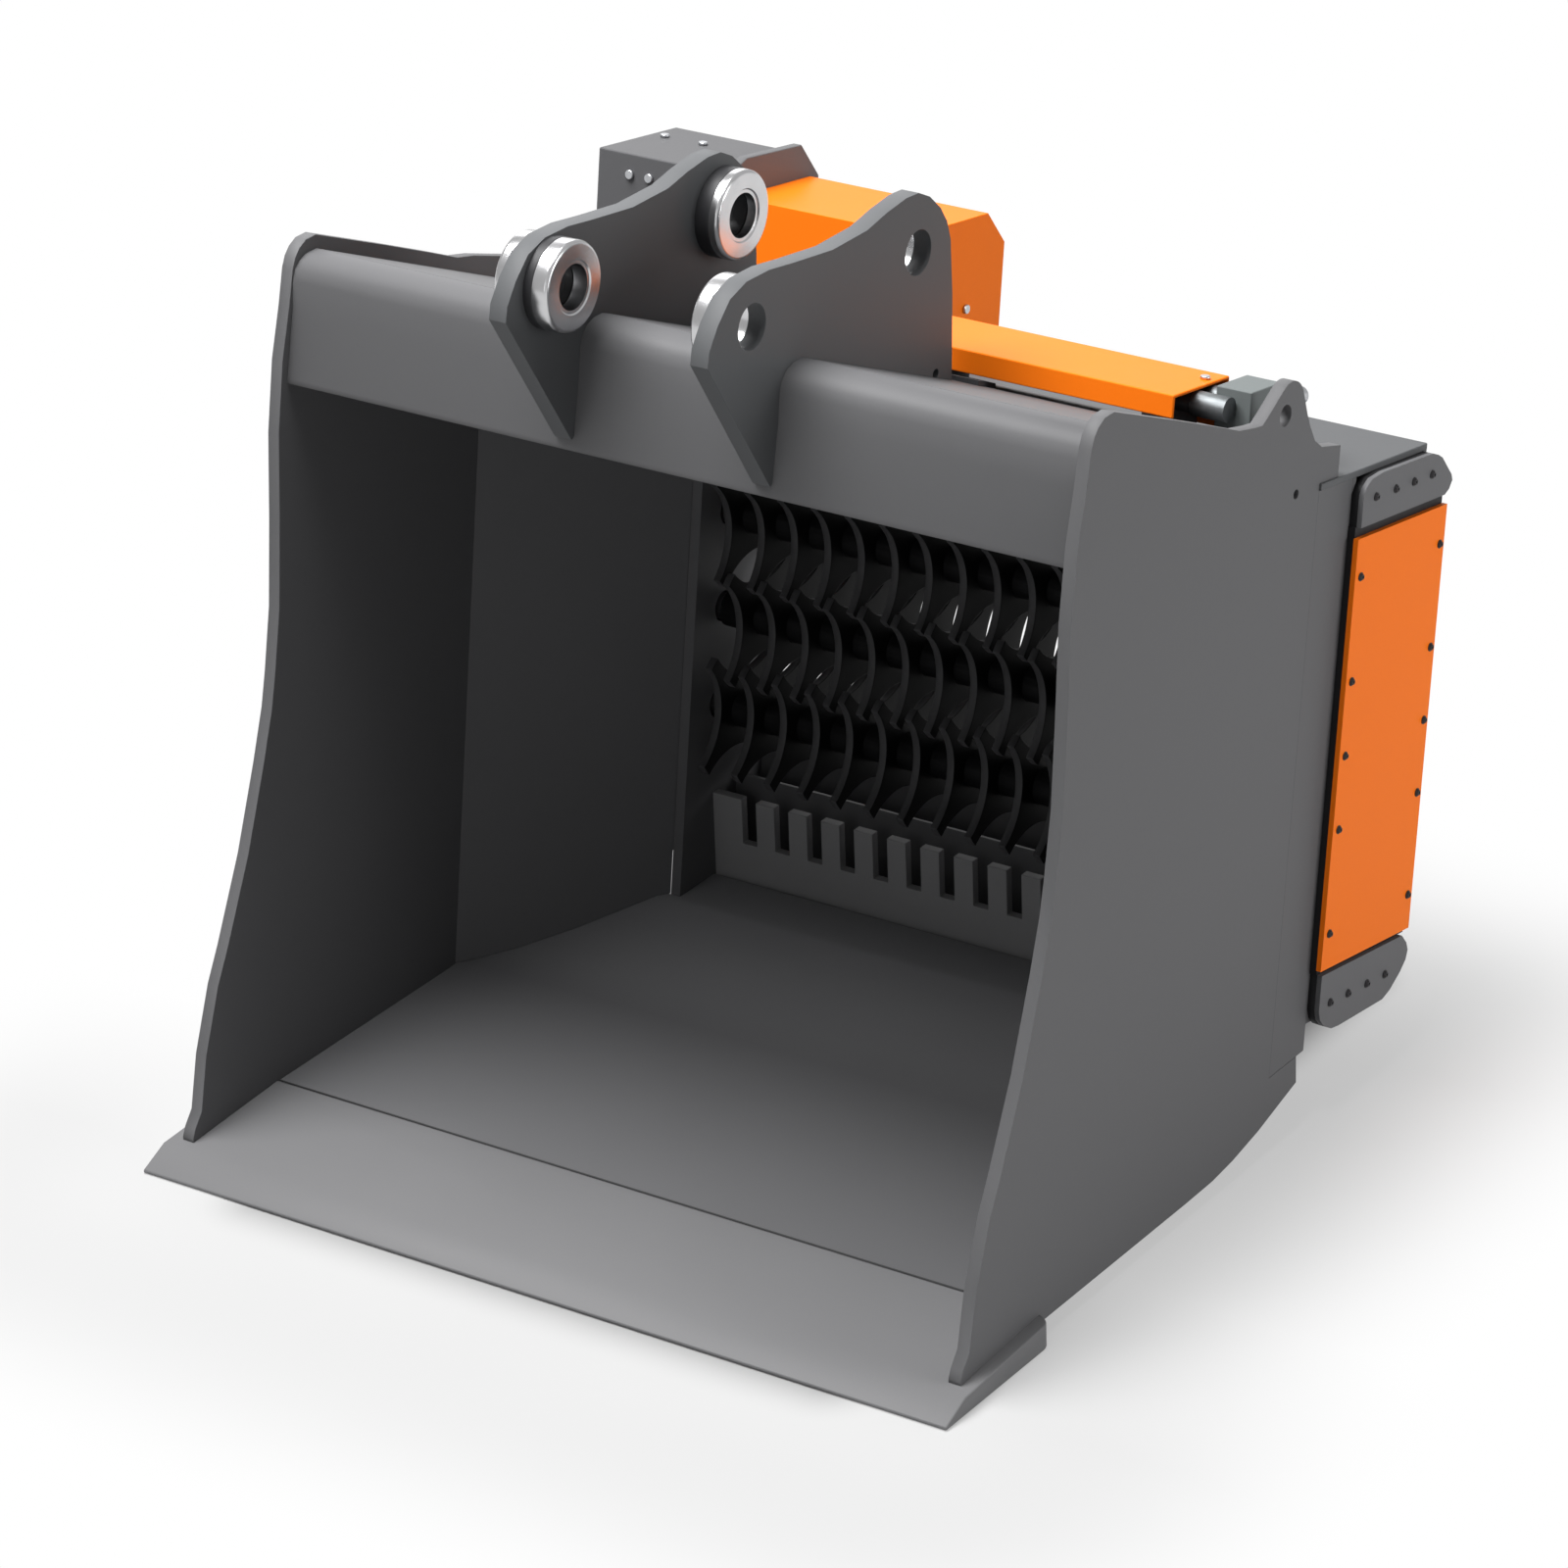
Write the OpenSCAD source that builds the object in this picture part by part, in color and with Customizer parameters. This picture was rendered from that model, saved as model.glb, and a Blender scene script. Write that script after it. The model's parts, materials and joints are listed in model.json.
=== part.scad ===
// Screening bucket for a small excavator: welded scoop shell, hanger ears and a leaning
// screen of four star-disc rotors driven by a hydraulic motor through roller chains.
// +X runs along the rotors, +Y to the back, +Z up. The bucket stands on its lip and wear strips.

/* [Shell] */
// Inside width between the side plates
inner_w = 1000; // [900:10:1200]
// Thickness of the side plates
side_t = 15; // [12:1:20]
// Length from the cutting edge to the back of the screen at mid height
shell_l = 1000; // [960:10:1060]
// Height that the side plate outline is drawn to
shell_h = 1000; // [980:10:1060]
// Thickness of the shell plates
plate_t = 8; // [6:0.5:10]
// Thickness of the floor plate
floor_t = 10; // [8:1:14]
// Width of the cut between the floor and the comb
comb_slit = 4; // [2:0.5:6]

/* [Lip] */
// Depth of the cutting lip from front to back
lip_l = 207; // [180:1:240]
// Thickness of the lip at its back edge
lip_t = 30; // [25:1:35]
// How far the lip stands out past each side plate
lip_out = 16; // [8:1:25]
// Thickness of the lip at its nose
nose_t = 4; // [3:0.5:8]
// Length of the lip's bevel
bevel_l = 38; // [25:1:60]
// Corner radius of the lip's ends at the back
lip_r = 18; // [8:1:30]
// Width of each wear strip under the floor
strip_w = 60; // [40:5:100]
// Number of wear strips
strip_n = 4; // [2:1:6]

/* [Hanger] */
// Gap between the two ears
ear_gap = 232; // [180:2:260]
// Thickness of each ear
ear_t = 22; // [16:1:28]
// Bore for the hanger pins
pin_d = 50; // [40:1:56]
// Outer diameter of the collars round the pins
collar_d = 100; // [86:1:110]
// How far the left ear's inner collars stand into the gap
collar_in_left = 30; // [12:1:34]
// How far the right ear's inner collars stand into the gap
collar_in_right = 22; // [10:1:30]
// How far the outer collar stands out of the left ear
collar_out = 17; // [8:1:24]
// Lifting hole in each side plate
lift_d = 24; // [16:1:30]
// Radius of the lifting lug
lug_r = 28; // [24:1:34]
// Small locating hole behind the lug
mark_d = 11; // [8:1:14]

/* [Screen] */
// Lean of the screen from upright, in degrees
lean = 9; // [7:0.5:11]
// Distance between neighbouring rotor axes
rotor_pitch = 117.5; // [116.5:0.5:120]
// Height of the second rotor's axis above the ground
rotor_z = 400; // [390:5:420]
// Distance from the second rotor's axis to the back of the screen
rotor_back = 133; // [120:1:150]
// Tip radius of the star discs
disc_r = 92; // [80:1:93]
// Radius of the disc at the bottom of a valley
valley_r = 44; // [38:1:52]
// Thickness of each disc
disc_t = 10; // [8:1:14]
// Spacing of the discs along a rotor
disc_pitch = 46; // [42:1:48]
// Number of discs on the lowest rotor
disc_n = 14; // [10:1:14]
// Outer diameter of the rotor tube
tube_d = 44; // [40:1:46]
// Diameter of the rotor shafts
shaft_d = 32; // [26:1:35]
// Inside half width of the screening chamber
chamber_x = 327; // [323:1:345]
// Thickness of the chamber walls
wall_t = 13; // [10:1:16]
// Height of the comb above the chamber floor
comb_h = 105; // [80:1:112]
// Height of the comb's unbroken foot
comb_root = 48; // [30:1:60]
// Thickness of the comb
comb_t = 12; // [8:1:16]
// Width of the comb's slots
comb_slot_w = 20; // [14:1:26]

/* [Drive] */
// Tip radius of the chain sprockets
sprocket_r = 42; // [36:1:46]
// Width of the sprocket teeth
tooth_w = 8; // [6:0.5:10]
// Number of teeth
teeth = 16; // [12:1:18]
// Width of each chain
chain_w = 12; // [10:1:14]
// Thickness of the chain around the sprockets
chain_t = 8; // [6:0.5:9]
// Diameter of the hydraulic motor
motor_d = 92; // [70:1:94]
// Length of the hydraulic motor
motor_l = 170; // [120:5:200]
// Diameter of the hydraulic hoses
hose_d = 24; // [18:1:26]
// Radius of the hose bends
bend_r = 50; // [42:1:60]

/* [Covers] */
// Thickness of the orange side covers
cover_t = 6; // [4:0.5:8]
// Depth of the rim behind a side cover and its guards
rim_t = 9; // [6:1:14]
// Thickness of the guards above and below a side cover
guard_t = 6; // [5:0.5:10]
// Wall of the motor and hose covers
hood_t = 4; // [3:0.5:6]
// Head diameter of the cover bolts
bolt_head_d = 11; // [9:0.5:14]
// Head height of the cover bolts
bolt_head_h = 4; // [2.5:0.5:6]
// Shank diameter of the cover bolts
bolt_d = 8; // [6:0.5:10]

/* [Hidden] */
$fn = 64;
over = 5;
far = 2 * shell_l;
fit_gap = 0.05;
run_gap = 0.4;
hole_gap = 0.4;
paint = [0.31, 0.31, 0.33];
orange = [0.95, 0.33, 0.04];
steel = [0.72, 0.73, 0.75];
black = [0.06, 0.06, 0.07];
// Half widths and the leaning frame
half_w = inner_w / 2;
skin_x = half_w + side_t;
rotor_y = shell_l - rotor_back;
ca = cos(lean);
sa = sin(lean);
seam_n = -135;
wall_n = -60;
back_n = 105;
cap_t = plate_t;
cap_s = 2 * rotor_pitch + disc_r + 11 + cap_t;
cap_front_n = seam_n;
cap_back_n = 100;
cap_over = 3;
casing_low_s = -290;
// Height that the covers, guards and their bolts are shares of
screen_h = (cap_s - casing_low_s) / 0.636;
wall_low_z = 62;
cover_n = [-64, 136];
cover_s = [-0.224 * screen_h, 0.272 * screen_h];
rim_in = 2;
rim_window_n = [-32, 94];
rim_wall = 32;
step_up = 18;
tail_n = -95;
deck_y_share = 0.371;
deck_z_share = 0.979;
tab_end_up = 35;
// Shares of the shell's length and height
side_shares = [[0.053, 0.020], [0.053, 0.026], [0.058, 0.037], [0.071, 0.053],
    [0.086, 0.116], [0.115, 0.190], [0.137, 0.230], [0.183, 0.323], [0.221, 0.419],
    [0.242, 0.478], [0.252, 0.518], [0.267, 0.590], [0.278, 0.690], [0.287, 0.790],
    [0.302, 0.871], [0.320, 0.929], [0.330, 0.968], [0.336, 0.980], [0.344, 0.988],
    [0.356, 0.994], [0.374, 0.994], [0.493, 0.942], [0.571, 0.907], [0.621, 0.884],
    [0.652, 0.876]];
// The lifting lug, on the right plate only: its foot in front, its round top and its foot behind
lug_front_shares = [[0.668, 0.873], [0.682, 0.880]];
lug_top_share = [0.727, 0.873];
lug_arc = [119, 16];
lug_arc_steps = 12;
lug_back_shares = [[0.762, 0.852]];
// Corners where the side plate steps down to the cap plate, behind the screen and above the cap
tail_steps = [[-166, 69], [-153, 51], [-137, 41]];
lug_share = [0.716, 0.867];
mark_share = [0.738, 0.769];
floor_shares = [[0.503, 0], [0.560, 0.001], [0.603, 0.006], [0.658, 0.017], [0.741, 0.040]];
floor_end_share = 0.824;
beam_shares = [[0.307, 0.843], [0.307, 0.850], [0.324, 0.924], [0.328, 0.955],
    [0.333, 0.967], [0.342, 0.975], [0.354, 0.979], [0.371, 0.979]];
beam_dir_shares = [[0, 0], [1, 0], [1, -0.1], [0.98, -0.2], [0.85, -0.5], [0.5, -0.85],
    [0.15, -1], [0, -1]];
beam_foot_shares = [0.6408, 0.6565];
ear_shares = [[0.305, 0.857], [0.202, 1.025], [0.206, 1.042], [0.223, 1.065],
    [0.246, 1.086], [0.276, 1.095], [0.317, 1.094], [0.361, 1.087], [0.433, 1.077],
    [0.498, 1.077], [0.535, 1.084], [0.573, 1.088], [0.597, 1.086], [0.618, 1.075],
    [0.638, 1.056], [0.650, 1.037], [0.656, 1.015], [0.657, 0.951], [0.652, 0.850],
    [0.400, 0.900], [0.330, 0.870]];
pin_shares = [[0.283, 1.043], [0.593, 1.020]];
ear_hole_share = [0.621, 0.872];
// Outlines in the leaning frame, as distances behind and above the second rotor
guard_up_shares = [[-0.060, 0.284], [-0.060, 0.320], [-0.055, 0.329], [-0.044, 0.336],
    [-0.020, 0.339], [0.092, 0.338], [0.105, 0.334], [0.115, 0.329], [0.140, 0.305],
    [0.143, 0.298], [0.137, 0.289], [0.128, 0.284]];
guard_low_shares = [[-0.060, -0.230], [-0.060, -0.272], [-0.056, -0.283], [-0.046, -0.292],
    [-0.028, -0.300], [-0.012, -0.301], [0.088, -0.297], [0.104, -0.290], [0.125, -0.274],
    [0.136, -0.262], [0.139, -0.251], [0.134, -0.241], [0.122, -0.230]];
bolt_s_shares = [-0.182, -0.061, 0.024, 0.109, 0.228];
guard_up_bolts = [[-0.032, 0.314], [0.012, 0.314], [0.053, 0.314], [0.094, 0.314]];
guard_low_bolts = [[-0.036, -0.267], [0.004, -0.267], [0.047, -0.267], [0.088, -0.267]];
cover_bolt_n = [-52, 126];
// Motor bay
motor_n = 52;
motor_s = cap_s + 90;
box_n = [-32, 123];
box_up = 173;
hood_n = [-21, 173];
hood_up = 145;
hood_low = 46;
hood_cut = 40;
motor_plate_t = 12;
// Port block on the end of the motor and the space between it and the hood
port_l = 62;
port_w = 80;
port_clear = 10;
port_off = 16;
box_wall_x = 3;
shaft_out = 30;
sprocket_x = 398;
plane_gap = 22;
hub_d = 50;
hub_end = 8;
bearing_d = 78;
bearing_l = 24;
flange_w = 88;
flange_t = 10;
seal_gap = 3;
// Hose cover, hoses and manifold
hc_n = [-260, -143];
hc_front_h = 26;
hc_clear = 10;
hc_back_h = 58;
hc_x = [ear_gap / 2 - 76, half_w - 100];
hose_n = [-206, -174];
hose_under = 19;
block_x = [half_w - 88, half_w - 44];
block_n = [hose_n[1] - 18, hose_n[1] + 46];
block_over = 20;
coupler_l = 64;
coupler_d = 20;
coupler_bore = 14;
coupler_in = [11, 33];
coupler_down = 8;
nut_l = 16;
nut_d = 28;
elbow_l = 26;
post_w = 30;
foot_t = 6;
sill_w = 35;
sill_h = 122;
sill_t = 5;
rear_y = rotor_y + hood_n[1] * ca + (cap_s + hood_up - hood_cut) * sa;
mid_y = rear_y / 2;
// Points of the leaning frame in the upright one
function world(n, s) = [rotor_y + n * ca + s * sa, rotor_z - n * sa + s * ca];
function s_at(n, z) = (z - rotor_z + n * sa) / ca;
function shell(list) = [for (p = list) [p[0] * shell_l, p[1] * shell_h]];
function flip(list) = [for (i = [len(list) - 1 : -1 : 0]) list[i]];
function lifted(list, z) = [for (p = list) [p[0] * shell_l, p[1] * shell_h + z]];
deck_a = [deck_y_share * shell_l, deck_z_share * shell_h];
deck_b = world(tail_n, cap_s + step_up);
deck_m = (deck_b[1] - deck_a[1]) / (deck_b[0] - deck_a[0]);
deck_drop = plate_t * sqrt(1 + deck_m * deck_m);
function deck_z(y) = deck_a[1] + deck_m * (y - deck_a[0]);
function deck_under(y) = deck_z(y) - deck_drop;
function deck_s(n) = (deck_a[1] + deck_m * (rotor_y + n * ca - deck_a[0]) - rotor_z + n * sa)
    / (ca - deck_m * sa);
hc_s = deck_s(hc_n[0]) + hc_clear + hc_front_h;
hose_s = hc_s - hose_under;
floor_top = concat([[lip_l, lip_t]], lifted(floor_shares, lip_t),
    [[floor_end_share * shell_l, floor_shares[4][1] * shell_h + lip_t]]);
floor_under = [for (p = flip(floor_top)) [p[0], p[1] - floor_t]];
shelf_z = floor_top[len(floor_top) - 1][1];
comb_y = floor_end_share * shell_l + comb_slit;
function disc_count(k) = k % 2 == 1 ? disc_n : disc_n - 1;
function rotor_s(k) = (k - 2) * rotor_pitch;

// Moves a shape from the cutting edge's frame to the part's own frame
module set() translate([0, -mid_y, 0]) children();
// Extrudes an outline drawn in Y and Z from x0 over a width w
module slab(x0, w) translate([x0, 0, 0]) rotate([90, 0, 90]) linear_extrude(w) children();
// The same, drawn in the leaning frame of the screen
module leaned() translate([0, rotor_y, rotor_z]) rotate([-lean, 0, 0]) children();
module lean_slab(x0, w) leaned() slab(x0, w) children();
module rect(a, b) translate([a[0], b[0]]) square([a[1] - a[0], b[1] - b[0]]);
// A straight round bar along X in the leaning frame
module bar(x0, x1, n, s, d) leaned() translate([x0, n, s]) rotate([0, 90, 0])
    cylinder(h = x1 - x0, d = d);
module both_sides() {
    children();
    mirror([1, 0, 0]) children();
}

module lip_outline() polygon([[0, 0], [lip_l, 0], [lip_l, lip_t],
    [bevel_l, lip_t - (lip_l - bevel_l) * lip_slope], [0, nose_t]]);
lip_slope = 0.053;

module cutting_lip() color(paint) set() intersection() {
    slab(-skin_x - lip_out, 2 * (skin_x + lip_out)) lip_outline();
    linear_extrude(lip_t) union() {
        translate([-skin_x - lip_out, 0]) square([2 * (skin_x + lip_out), lip_l - lip_r]);
        translate([-skin_x - lip_out + lip_r, 0])
            square([2 * (skin_x + lip_out - lip_r), lip_l]);
        for (m = [-1, 1]) translate([m * (skin_x + lip_out - lip_r), lip_l - lip_r])
            circle(lip_r);
    }
}

function seam_y(z) = rotor_y + (seam_n + (z - rotor_z) * sa) / ca;
strip_low_z = floor_shares[4][1] * shell_h + lip_t + 22;
function lug_outline() = concat(shell(lug_front_shares), [for (i = [0 : lug_arc_steps])
    let (a = lug_arc[0] + (lug_arc[1] - lug_arc[0]) * i / lug_arc_steps)
    [lug_top_share[0] * shell_l + lug_r * cos(a), lug_top_share[1] * shell_h + lug_r * sin(a)]],
    shell(lug_back_shares));
module side_outline(lug) difference() {
    polygon(concat(shell(side_shares), lug ? lug_outline() : [],
        [for (t = tail_steps) world(t[0], cap_s + t[1])],
        [world(tail_n, cap_s + tab_end_up), world(tail_n, cap_s), world(seam_n, cap_s),
        [seam_y(strip_low_z), strip_low_z],
        [floor_shares[4][0] * shell_l, strip_low_z]],
        [for (i = [1 : len(floor_under) - 1]) floor_under[i]]));
    if (lug) translate([lug_share[0] * shell_l, lug_share[1] * shell_h]) circle(d = lift_d);
    translate([mark_share[0] * shell_l, mark_share[1] * shell_h]) circle(d = mark_d);
    lip_outline();
}
module side_plate(lug) set() slab(half_w, side_t) side_outline(lug);
module side_plate_left() color(paint) mirror([1, 0, 0]) side_plate(false);
module side_plate_right() color(paint) side_plate(true);

// The space that the casings fill behind each cheek
module casing_space(extra = 0) both_sides() leaned()
    translate([chamber_x, wall_n - extra, -far / 2]) cube([half_w, far, far]);

module floor_plate() color(paint) set() difference() {
    slab(-half_w, inner_w) polygon(concat(floor_top, floor_under));
    casing_space();
}

strip_run = floor_shares[0][0] * shell_l - lip_l;
module wear_strips() color(paint) set() for (i = [0 : strip_n - 1])
    translate([(i - (strip_n - 1) / 2) * inner_w / strip_n - strip_w / 2, lip_l, 0])
        cube([strip_w, strip_run, lip_t - floor_t]);

// The inside of the shell, from the floor up to the sloping deck
module inside_outline() polygon(concat(floor_top,
    [[far, shelf_z], [far, deck_z(far / 2) - deck_drop], [far / 2, deck_z(far / 2) - deck_drop],
    [deck_a[0], deck_a[1] - deck_drop], [lip_l, deck_a[1] - deck_drop]]));
cheek_n = -265;
cheek_in = chamber_x + wall_t;
cheek_run = norm([half_w - cheek_in, wall_n - cheek_n]);
module cheek() set() difference() {
    intersection() {
        leaned() translate([0, 0, -far / 4]) linear_extrude(far / 2) polygon([
            [half_w, cheek_n], [cheek_in, wall_n],
            [cheek_in + plate_t * cheek_run / (wall_n - cheek_n), wall_n],
            [half_w, cheek_n + plate_t * cheek_run / (half_w - cheek_in)]]);
        slab(0, half_w) inside_outline();
    }
    cap_block();
}
module cap_block() lean_slab(-far / 2, far) translate([cap_front_n, cap_s - cap_t])
    square([far / 2, far / 2]);
module cheek_left() color(paint) mirror([1, 0, 0]) cheek();
module cheek_right() color(paint) cheek();

module beam_solid() polygon(concat(shell(beam_shares),
    [deck_b, [deck_b[0], beam_shares[0][1] * shell_h]]));
module below_deck() polygon([[0, 0], [0, deck_a[1] - deck_drop],
    [deck_a[0], deck_a[1] - deck_drop], [far / 2, deck_z(far / 2) - deck_drop], [far / 2, 0]]);
function beam_in(i) = [beam_shares[i][0] * shell_l + plate_t * beam_dir_shares[i][0],
    beam_shares[i][1] * shell_h + plate_t * beam_dir_shares[i][1]];
module upper_beam() color(paint) set() slab(-half_w, inner_w) polygon(concat(
    shell(beam_shares), [for (i = [7 : -1 : 1]) beam_in(i)],
    [for (b = beam_foot_shares) [b * shell_l, deck_under(b * shell_l)]]));

// The sloping deck behind the beam, folded down onto the cap plate
module top_plate() color(paint) set() slab(-half_w, inner_w) polygon([deck_a, deck_b,
    world(tail_n, cap_s), world(tail_n - plate_t, cap_s),
    world(tail_n - plate_t, deck_s(tail_n - plate_t) - deck_drop / (ca - deck_m * sa)),
    [deck_a[0], deck_a[1] - deck_drop]]);

module ear_outline() difference() {
    polygon(shell(ear_shares));
    for (p = pin_shares) translate([p[0] * shell_l, p[1] * shell_h]) circle(d = pin_d);
    translate([ear_hole_share[0] * shell_l, ear_hole_share[1] * shell_h]) circle(d = mark_d);
    beam_solid();
}
module ear() set() slab(ear_gap / 2, ear_t) ear_outline();
module ear_left() color(paint) mirror([1, 0, 0]) ear();
module ear_right() color(paint) ear();
module collar(x0, l, i) translate([x0, pin_shares[i][0] * shell_l, pin_shares[i][1] * shell_h])
    rotate([0, 90, 0]) difference() {
        cylinder(h = l, d = collar_d);
        translate([0, 0, -over]) cylinder(h = l + 2 * over, d = pin_d);
    }
module pin_collars() color(steel) set() {
    for (i = [0, 1]) {
        collar(ear_gap / 2 - collar_in_right, collar_in_right, i);
        collar(-ear_gap / 2, collar_in_left, i);
    }
    collar(-ear_gap / 2 - ear_t - collar_out, collar_out, 0);
}

// Outer strips that join the side plates to the casings
module frame_strips() color(paint) set() both_sides() lean_slab(half_w, side_t) polygon([
    [seam_n, s_at(seam_n, strip_low_z)], [wall_n, s_at(wall_n, strip_low_z)],
    [wall_n, cap_s - cap_t], [seam_n, cap_s - cap_t]]);

chain_slot_n = [-50, 92];
chain_x0 = sprocket_x + 2 * plane_gap;
module cap_plate() color(paint) set() difference() {
    lean_slab(-skin_x - cap_over, 2 * (skin_x + cap_over))
        rect([cap_front_n, cap_back_n], [cap_s - cap_t, cap_s]);
    leaned() translate([-chain_x0 - chain_w, chain_slot_n[0], cap_s - cap_t - over])
        cube([2 * chain_w, chain_slot_n[1] - chain_slot_n[0], cap_t + 2 * over]);
}

shaft_hole_d = shaft_d + 2 * seal_gap;
module chamber_wall() set() difference() {
    lean_slab(chamber_x, wall_t) polygon([[wall_n, s_at(wall_n, wall_low_z)],
        [0, s_at(0, wall_low_z)], [back_n, casing_low_s], [back_n, cap_s - cap_t],
        [wall_n, cap_s - cap_t]]);
    for (k = [1 : 4]) bar(chamber_x - over, cheek_in + over, 0, rotor_s(k), shaft_hole_d);
}
module chamber_wall_left() color(paint) mirror([1, 0, 0]) chamber_wall();
module chamber_wall_right() color(paint) chamber_wall();

// Casing of each side, open towards the cover
module casing() set() lean_slab(cheek_in, skin_x - cheek_in) difference() {
    rect([wall_n, back_n], [casing_low_s, cap_s - cap_t]);
    rect([wall_n + plate_t, back_n - plate_t],
        [casing_low_s + plate_t, cap_s - cap_t]);
}
module casing_left() color(paint) mirror([1, 0, 0]) casing();
module casing_right() color(paint) casing();

module cover_holes(d) for (n = cover_bolt_n) for (s = bolt_s_shares)
    bar(skin_x - over, skin_x + rim_t + cover_t + over, n, s * screen_h, d);
module guard_holes(bolts) for (b = bolts)
    bar(skin_x - over, skin_x + rim_t + guard_t + over, b[0] * screen_h, b[1] * screen_h,
        bolt_d + hole_gap);
// The rim runs on behind both guards
rim_n = [cover_n[0] + rim_in, cover_n[1] - rim_in];
rim_s = [guard_low_shares[0][1] * screen_h, guard_up_shares[0][1] * screen_h];
module rim_outline() polygon(concat(guard_up_shares * screen_h,
    [[rim_n[1], rim_s[1]], [rim_n[1], rim_s[0]]], flip(guard_low_shares * screen_h),
    [[rim_n[0], rim_s[0]], [rim_n[0], rim_s[1]]]));
module rim() set() difference() {
    lean_slab(skin_x, rim_t) difference() {
        rim_outline();
        rect(rim_window_n, [cover_s[0] + rim_wall, cover_s[1] - rim_wall]);
    }
    cover_holes(bolt_d + hole_gap);
    guard_holes(concat(guard_up_bolts, guard_low_bolts));
    lean_slab(0, skin_x + cap_over) rect([cap_front_n - over, cap_back_n + over],
        [cap_s - cap_t, cap_s + over]);
}
module rim_left() color(black) mirror([1, 0, 0]) rim();
module rim_right() color(black) rim();
module side_cover() set() difference() {
    lean_slab(skin_x + rim_t, cover_t) rect(cover_n, cover_s);
    cover_holes(bolt_d + hole_gap);
}
module side_cover_left() color(orange) mirror([1, 0, 0]) side_cover();
module side_cover_right() color(orange) side_cover();
module bolt(x, n, s, l) {
    bar(x, x + bolt_head_h, n, s, bolt_head_d);
    bar(x - l, x, n, s, bolt_d);
}
module cover_bolts() color(black) set() both_sides() for (n = cover_bolt_n)
    for (s = bolt_s_shares) bolt(skin_x + rim_t + cover_t, n, s * screen_h, rim_t + cover_t);
module guard(list, bolts) difference() {
    lean_slab(skin_x + rim_t, guard_t) polygon(list * screen_h);
    guard_holes(bolts);
}
module upper_guards() color(paint) set() both_sides()
    guard(guard_up_shares, guard_up_bolts);
module lower_guards() color(paint) set() both_sides()
    guard(guard_low_shares, guard_low_bolts);
module guard_bolts() color(black) set() both_sides()
    for (b = concat(guard_up_bolts, guard_low_bolts))
        bolt(skin_x + rim_t + guard_t, b[0] * screen_h, b[1] * screen_h, rim_t + guard_t);

// Slotted comb across the foot of the screen
function slot_x(i) = (i - (disc_n - 2) / 2) * disc_pitch;
module comb() color(paint) set() difference() {
    translate([-chamber_x, comb_y, shelf_z - floor_t])
        cube([2 * chamber_x, comb_t, comb_h + floor_t]);
    for (i = [0 : disc_n - 2]) translate([slot_x(i) - comb_slot_w / 2, comb_y - over,
        shelf_z + comb_root]) cube([comb_slot_w, comb_t + 2 * over, comb_h]);
}
// Deflector that keeps what falls through the comb close to the bucket
module rear_sill() color(paint) set()
    translate([-chamber_x, comb_y + comb_t + sill_w, shelf_z - floor_t]) {
        cube([2 * chamber_x, sill_t, sill_h]);
        cube([2 * chamber_x, sill_w, sill_t]);
    }

// Folded plate that ties the chamber walls together below the screen
tie_h = 95;
tie_flange = 22;
module rear_tie() color(paint) set() lean_slab(-chamber_x, 2 * chamber_x) polygon([
    [back_n - plate_t, casing_low_s], [back_n, casing_low_s],
    [back_n, casing_low_s + tie_h - plate_t],
    [back_n + tie_flange, casing_low_s + tie_h - plate_t],
    [back_n + tie_flange, casing_low_s + tie_h], [back_n - plate_t, casing_low_s + tie_h]]);

// Bearings on the outer face of each chamber wall
module bearing(k) difference() {
    union() {
        bar(cheek_in, cheek_in + bearing_l, 0, rotor_s(k), bearing_d);
        leaned() translate([cheek_in, -flange_w / 2, rotor_s(k) - flange_w / 2])
            cube([flange_t, flange_w, flange_w]);
    }
    bar(cheek_in - over, cheek_in + bearing_l + over, 0, rotor_s(k), shaft_d + 2 * fit_gap);
    bearing_places(k) translate([-over, 0, 0]) rotate([0, 90, 0])
        cylinder(h = flange_t + 2 * over, d = bolt_d + hole_gap);
}
flange_bolt = 36;
module bearing_places(k) for (a = [-1, 1]) for (b = [-1, 1]) leaned()
    translate([cheek_in, a * flange_bolt, rotor_s(k) + b * flange_bolt]) children();
module bearing_housings() color(steel) set() both_sides() for (k = [1 : 4]) bearing(k);
module bearing_bolts() color(black) set() both_sides() for (k = [1 : 4]) bearing_places(k)
    rotate([0, 90, 0]) {
        cylinder(h = flange_t, d = bolt_d);
        translate([0, 0, flange_t]) cylinder(h = bolt_head_h, d = flange_head_d);
    }
flange_head_d = 12;

// Four-lobed star disc
lobe_r = 78;
module star() difference() {
    circle(disc_r);
    for (a = [0 : 90 : 270]) rotate(a) translate([valley_r + lobe_r, 0]) circle(lobe_r);
}
rotor_end = 8;
module rotor(k) set() leaned() translate([0, 0, rotor_s(k)]) rotate([turn[k], 0, 0])
    rotate([90, 0, 90]) difference() {
        union() {
            translate([0, 0, -chamber_x + rotor_end])
                cylinder(h = 2 * (chamber_x - rotor_end), d = tube_d);
            for (i = [0 : disc_count(k) - 1])
                translate([0, 0, (i - (disc_count(k) - 1) / 2) * disc_pitch - disc_t / 2])
                    linear_extrude(disc_t) star();
        }
        translate([0, 0, -far / 4]) cylinder(h = far / 2, d = shaft_d + 2 * fit_gap);
    }
turn = [0, -2, 6, 8, 0];
module rotor_1() color(paint) rotor(1);
module rotor_2() color(paint) rotor(2);
module rotor_3() color(paint) rotor(3);
module rotor_4() color(paint) rotor(4);

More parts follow.
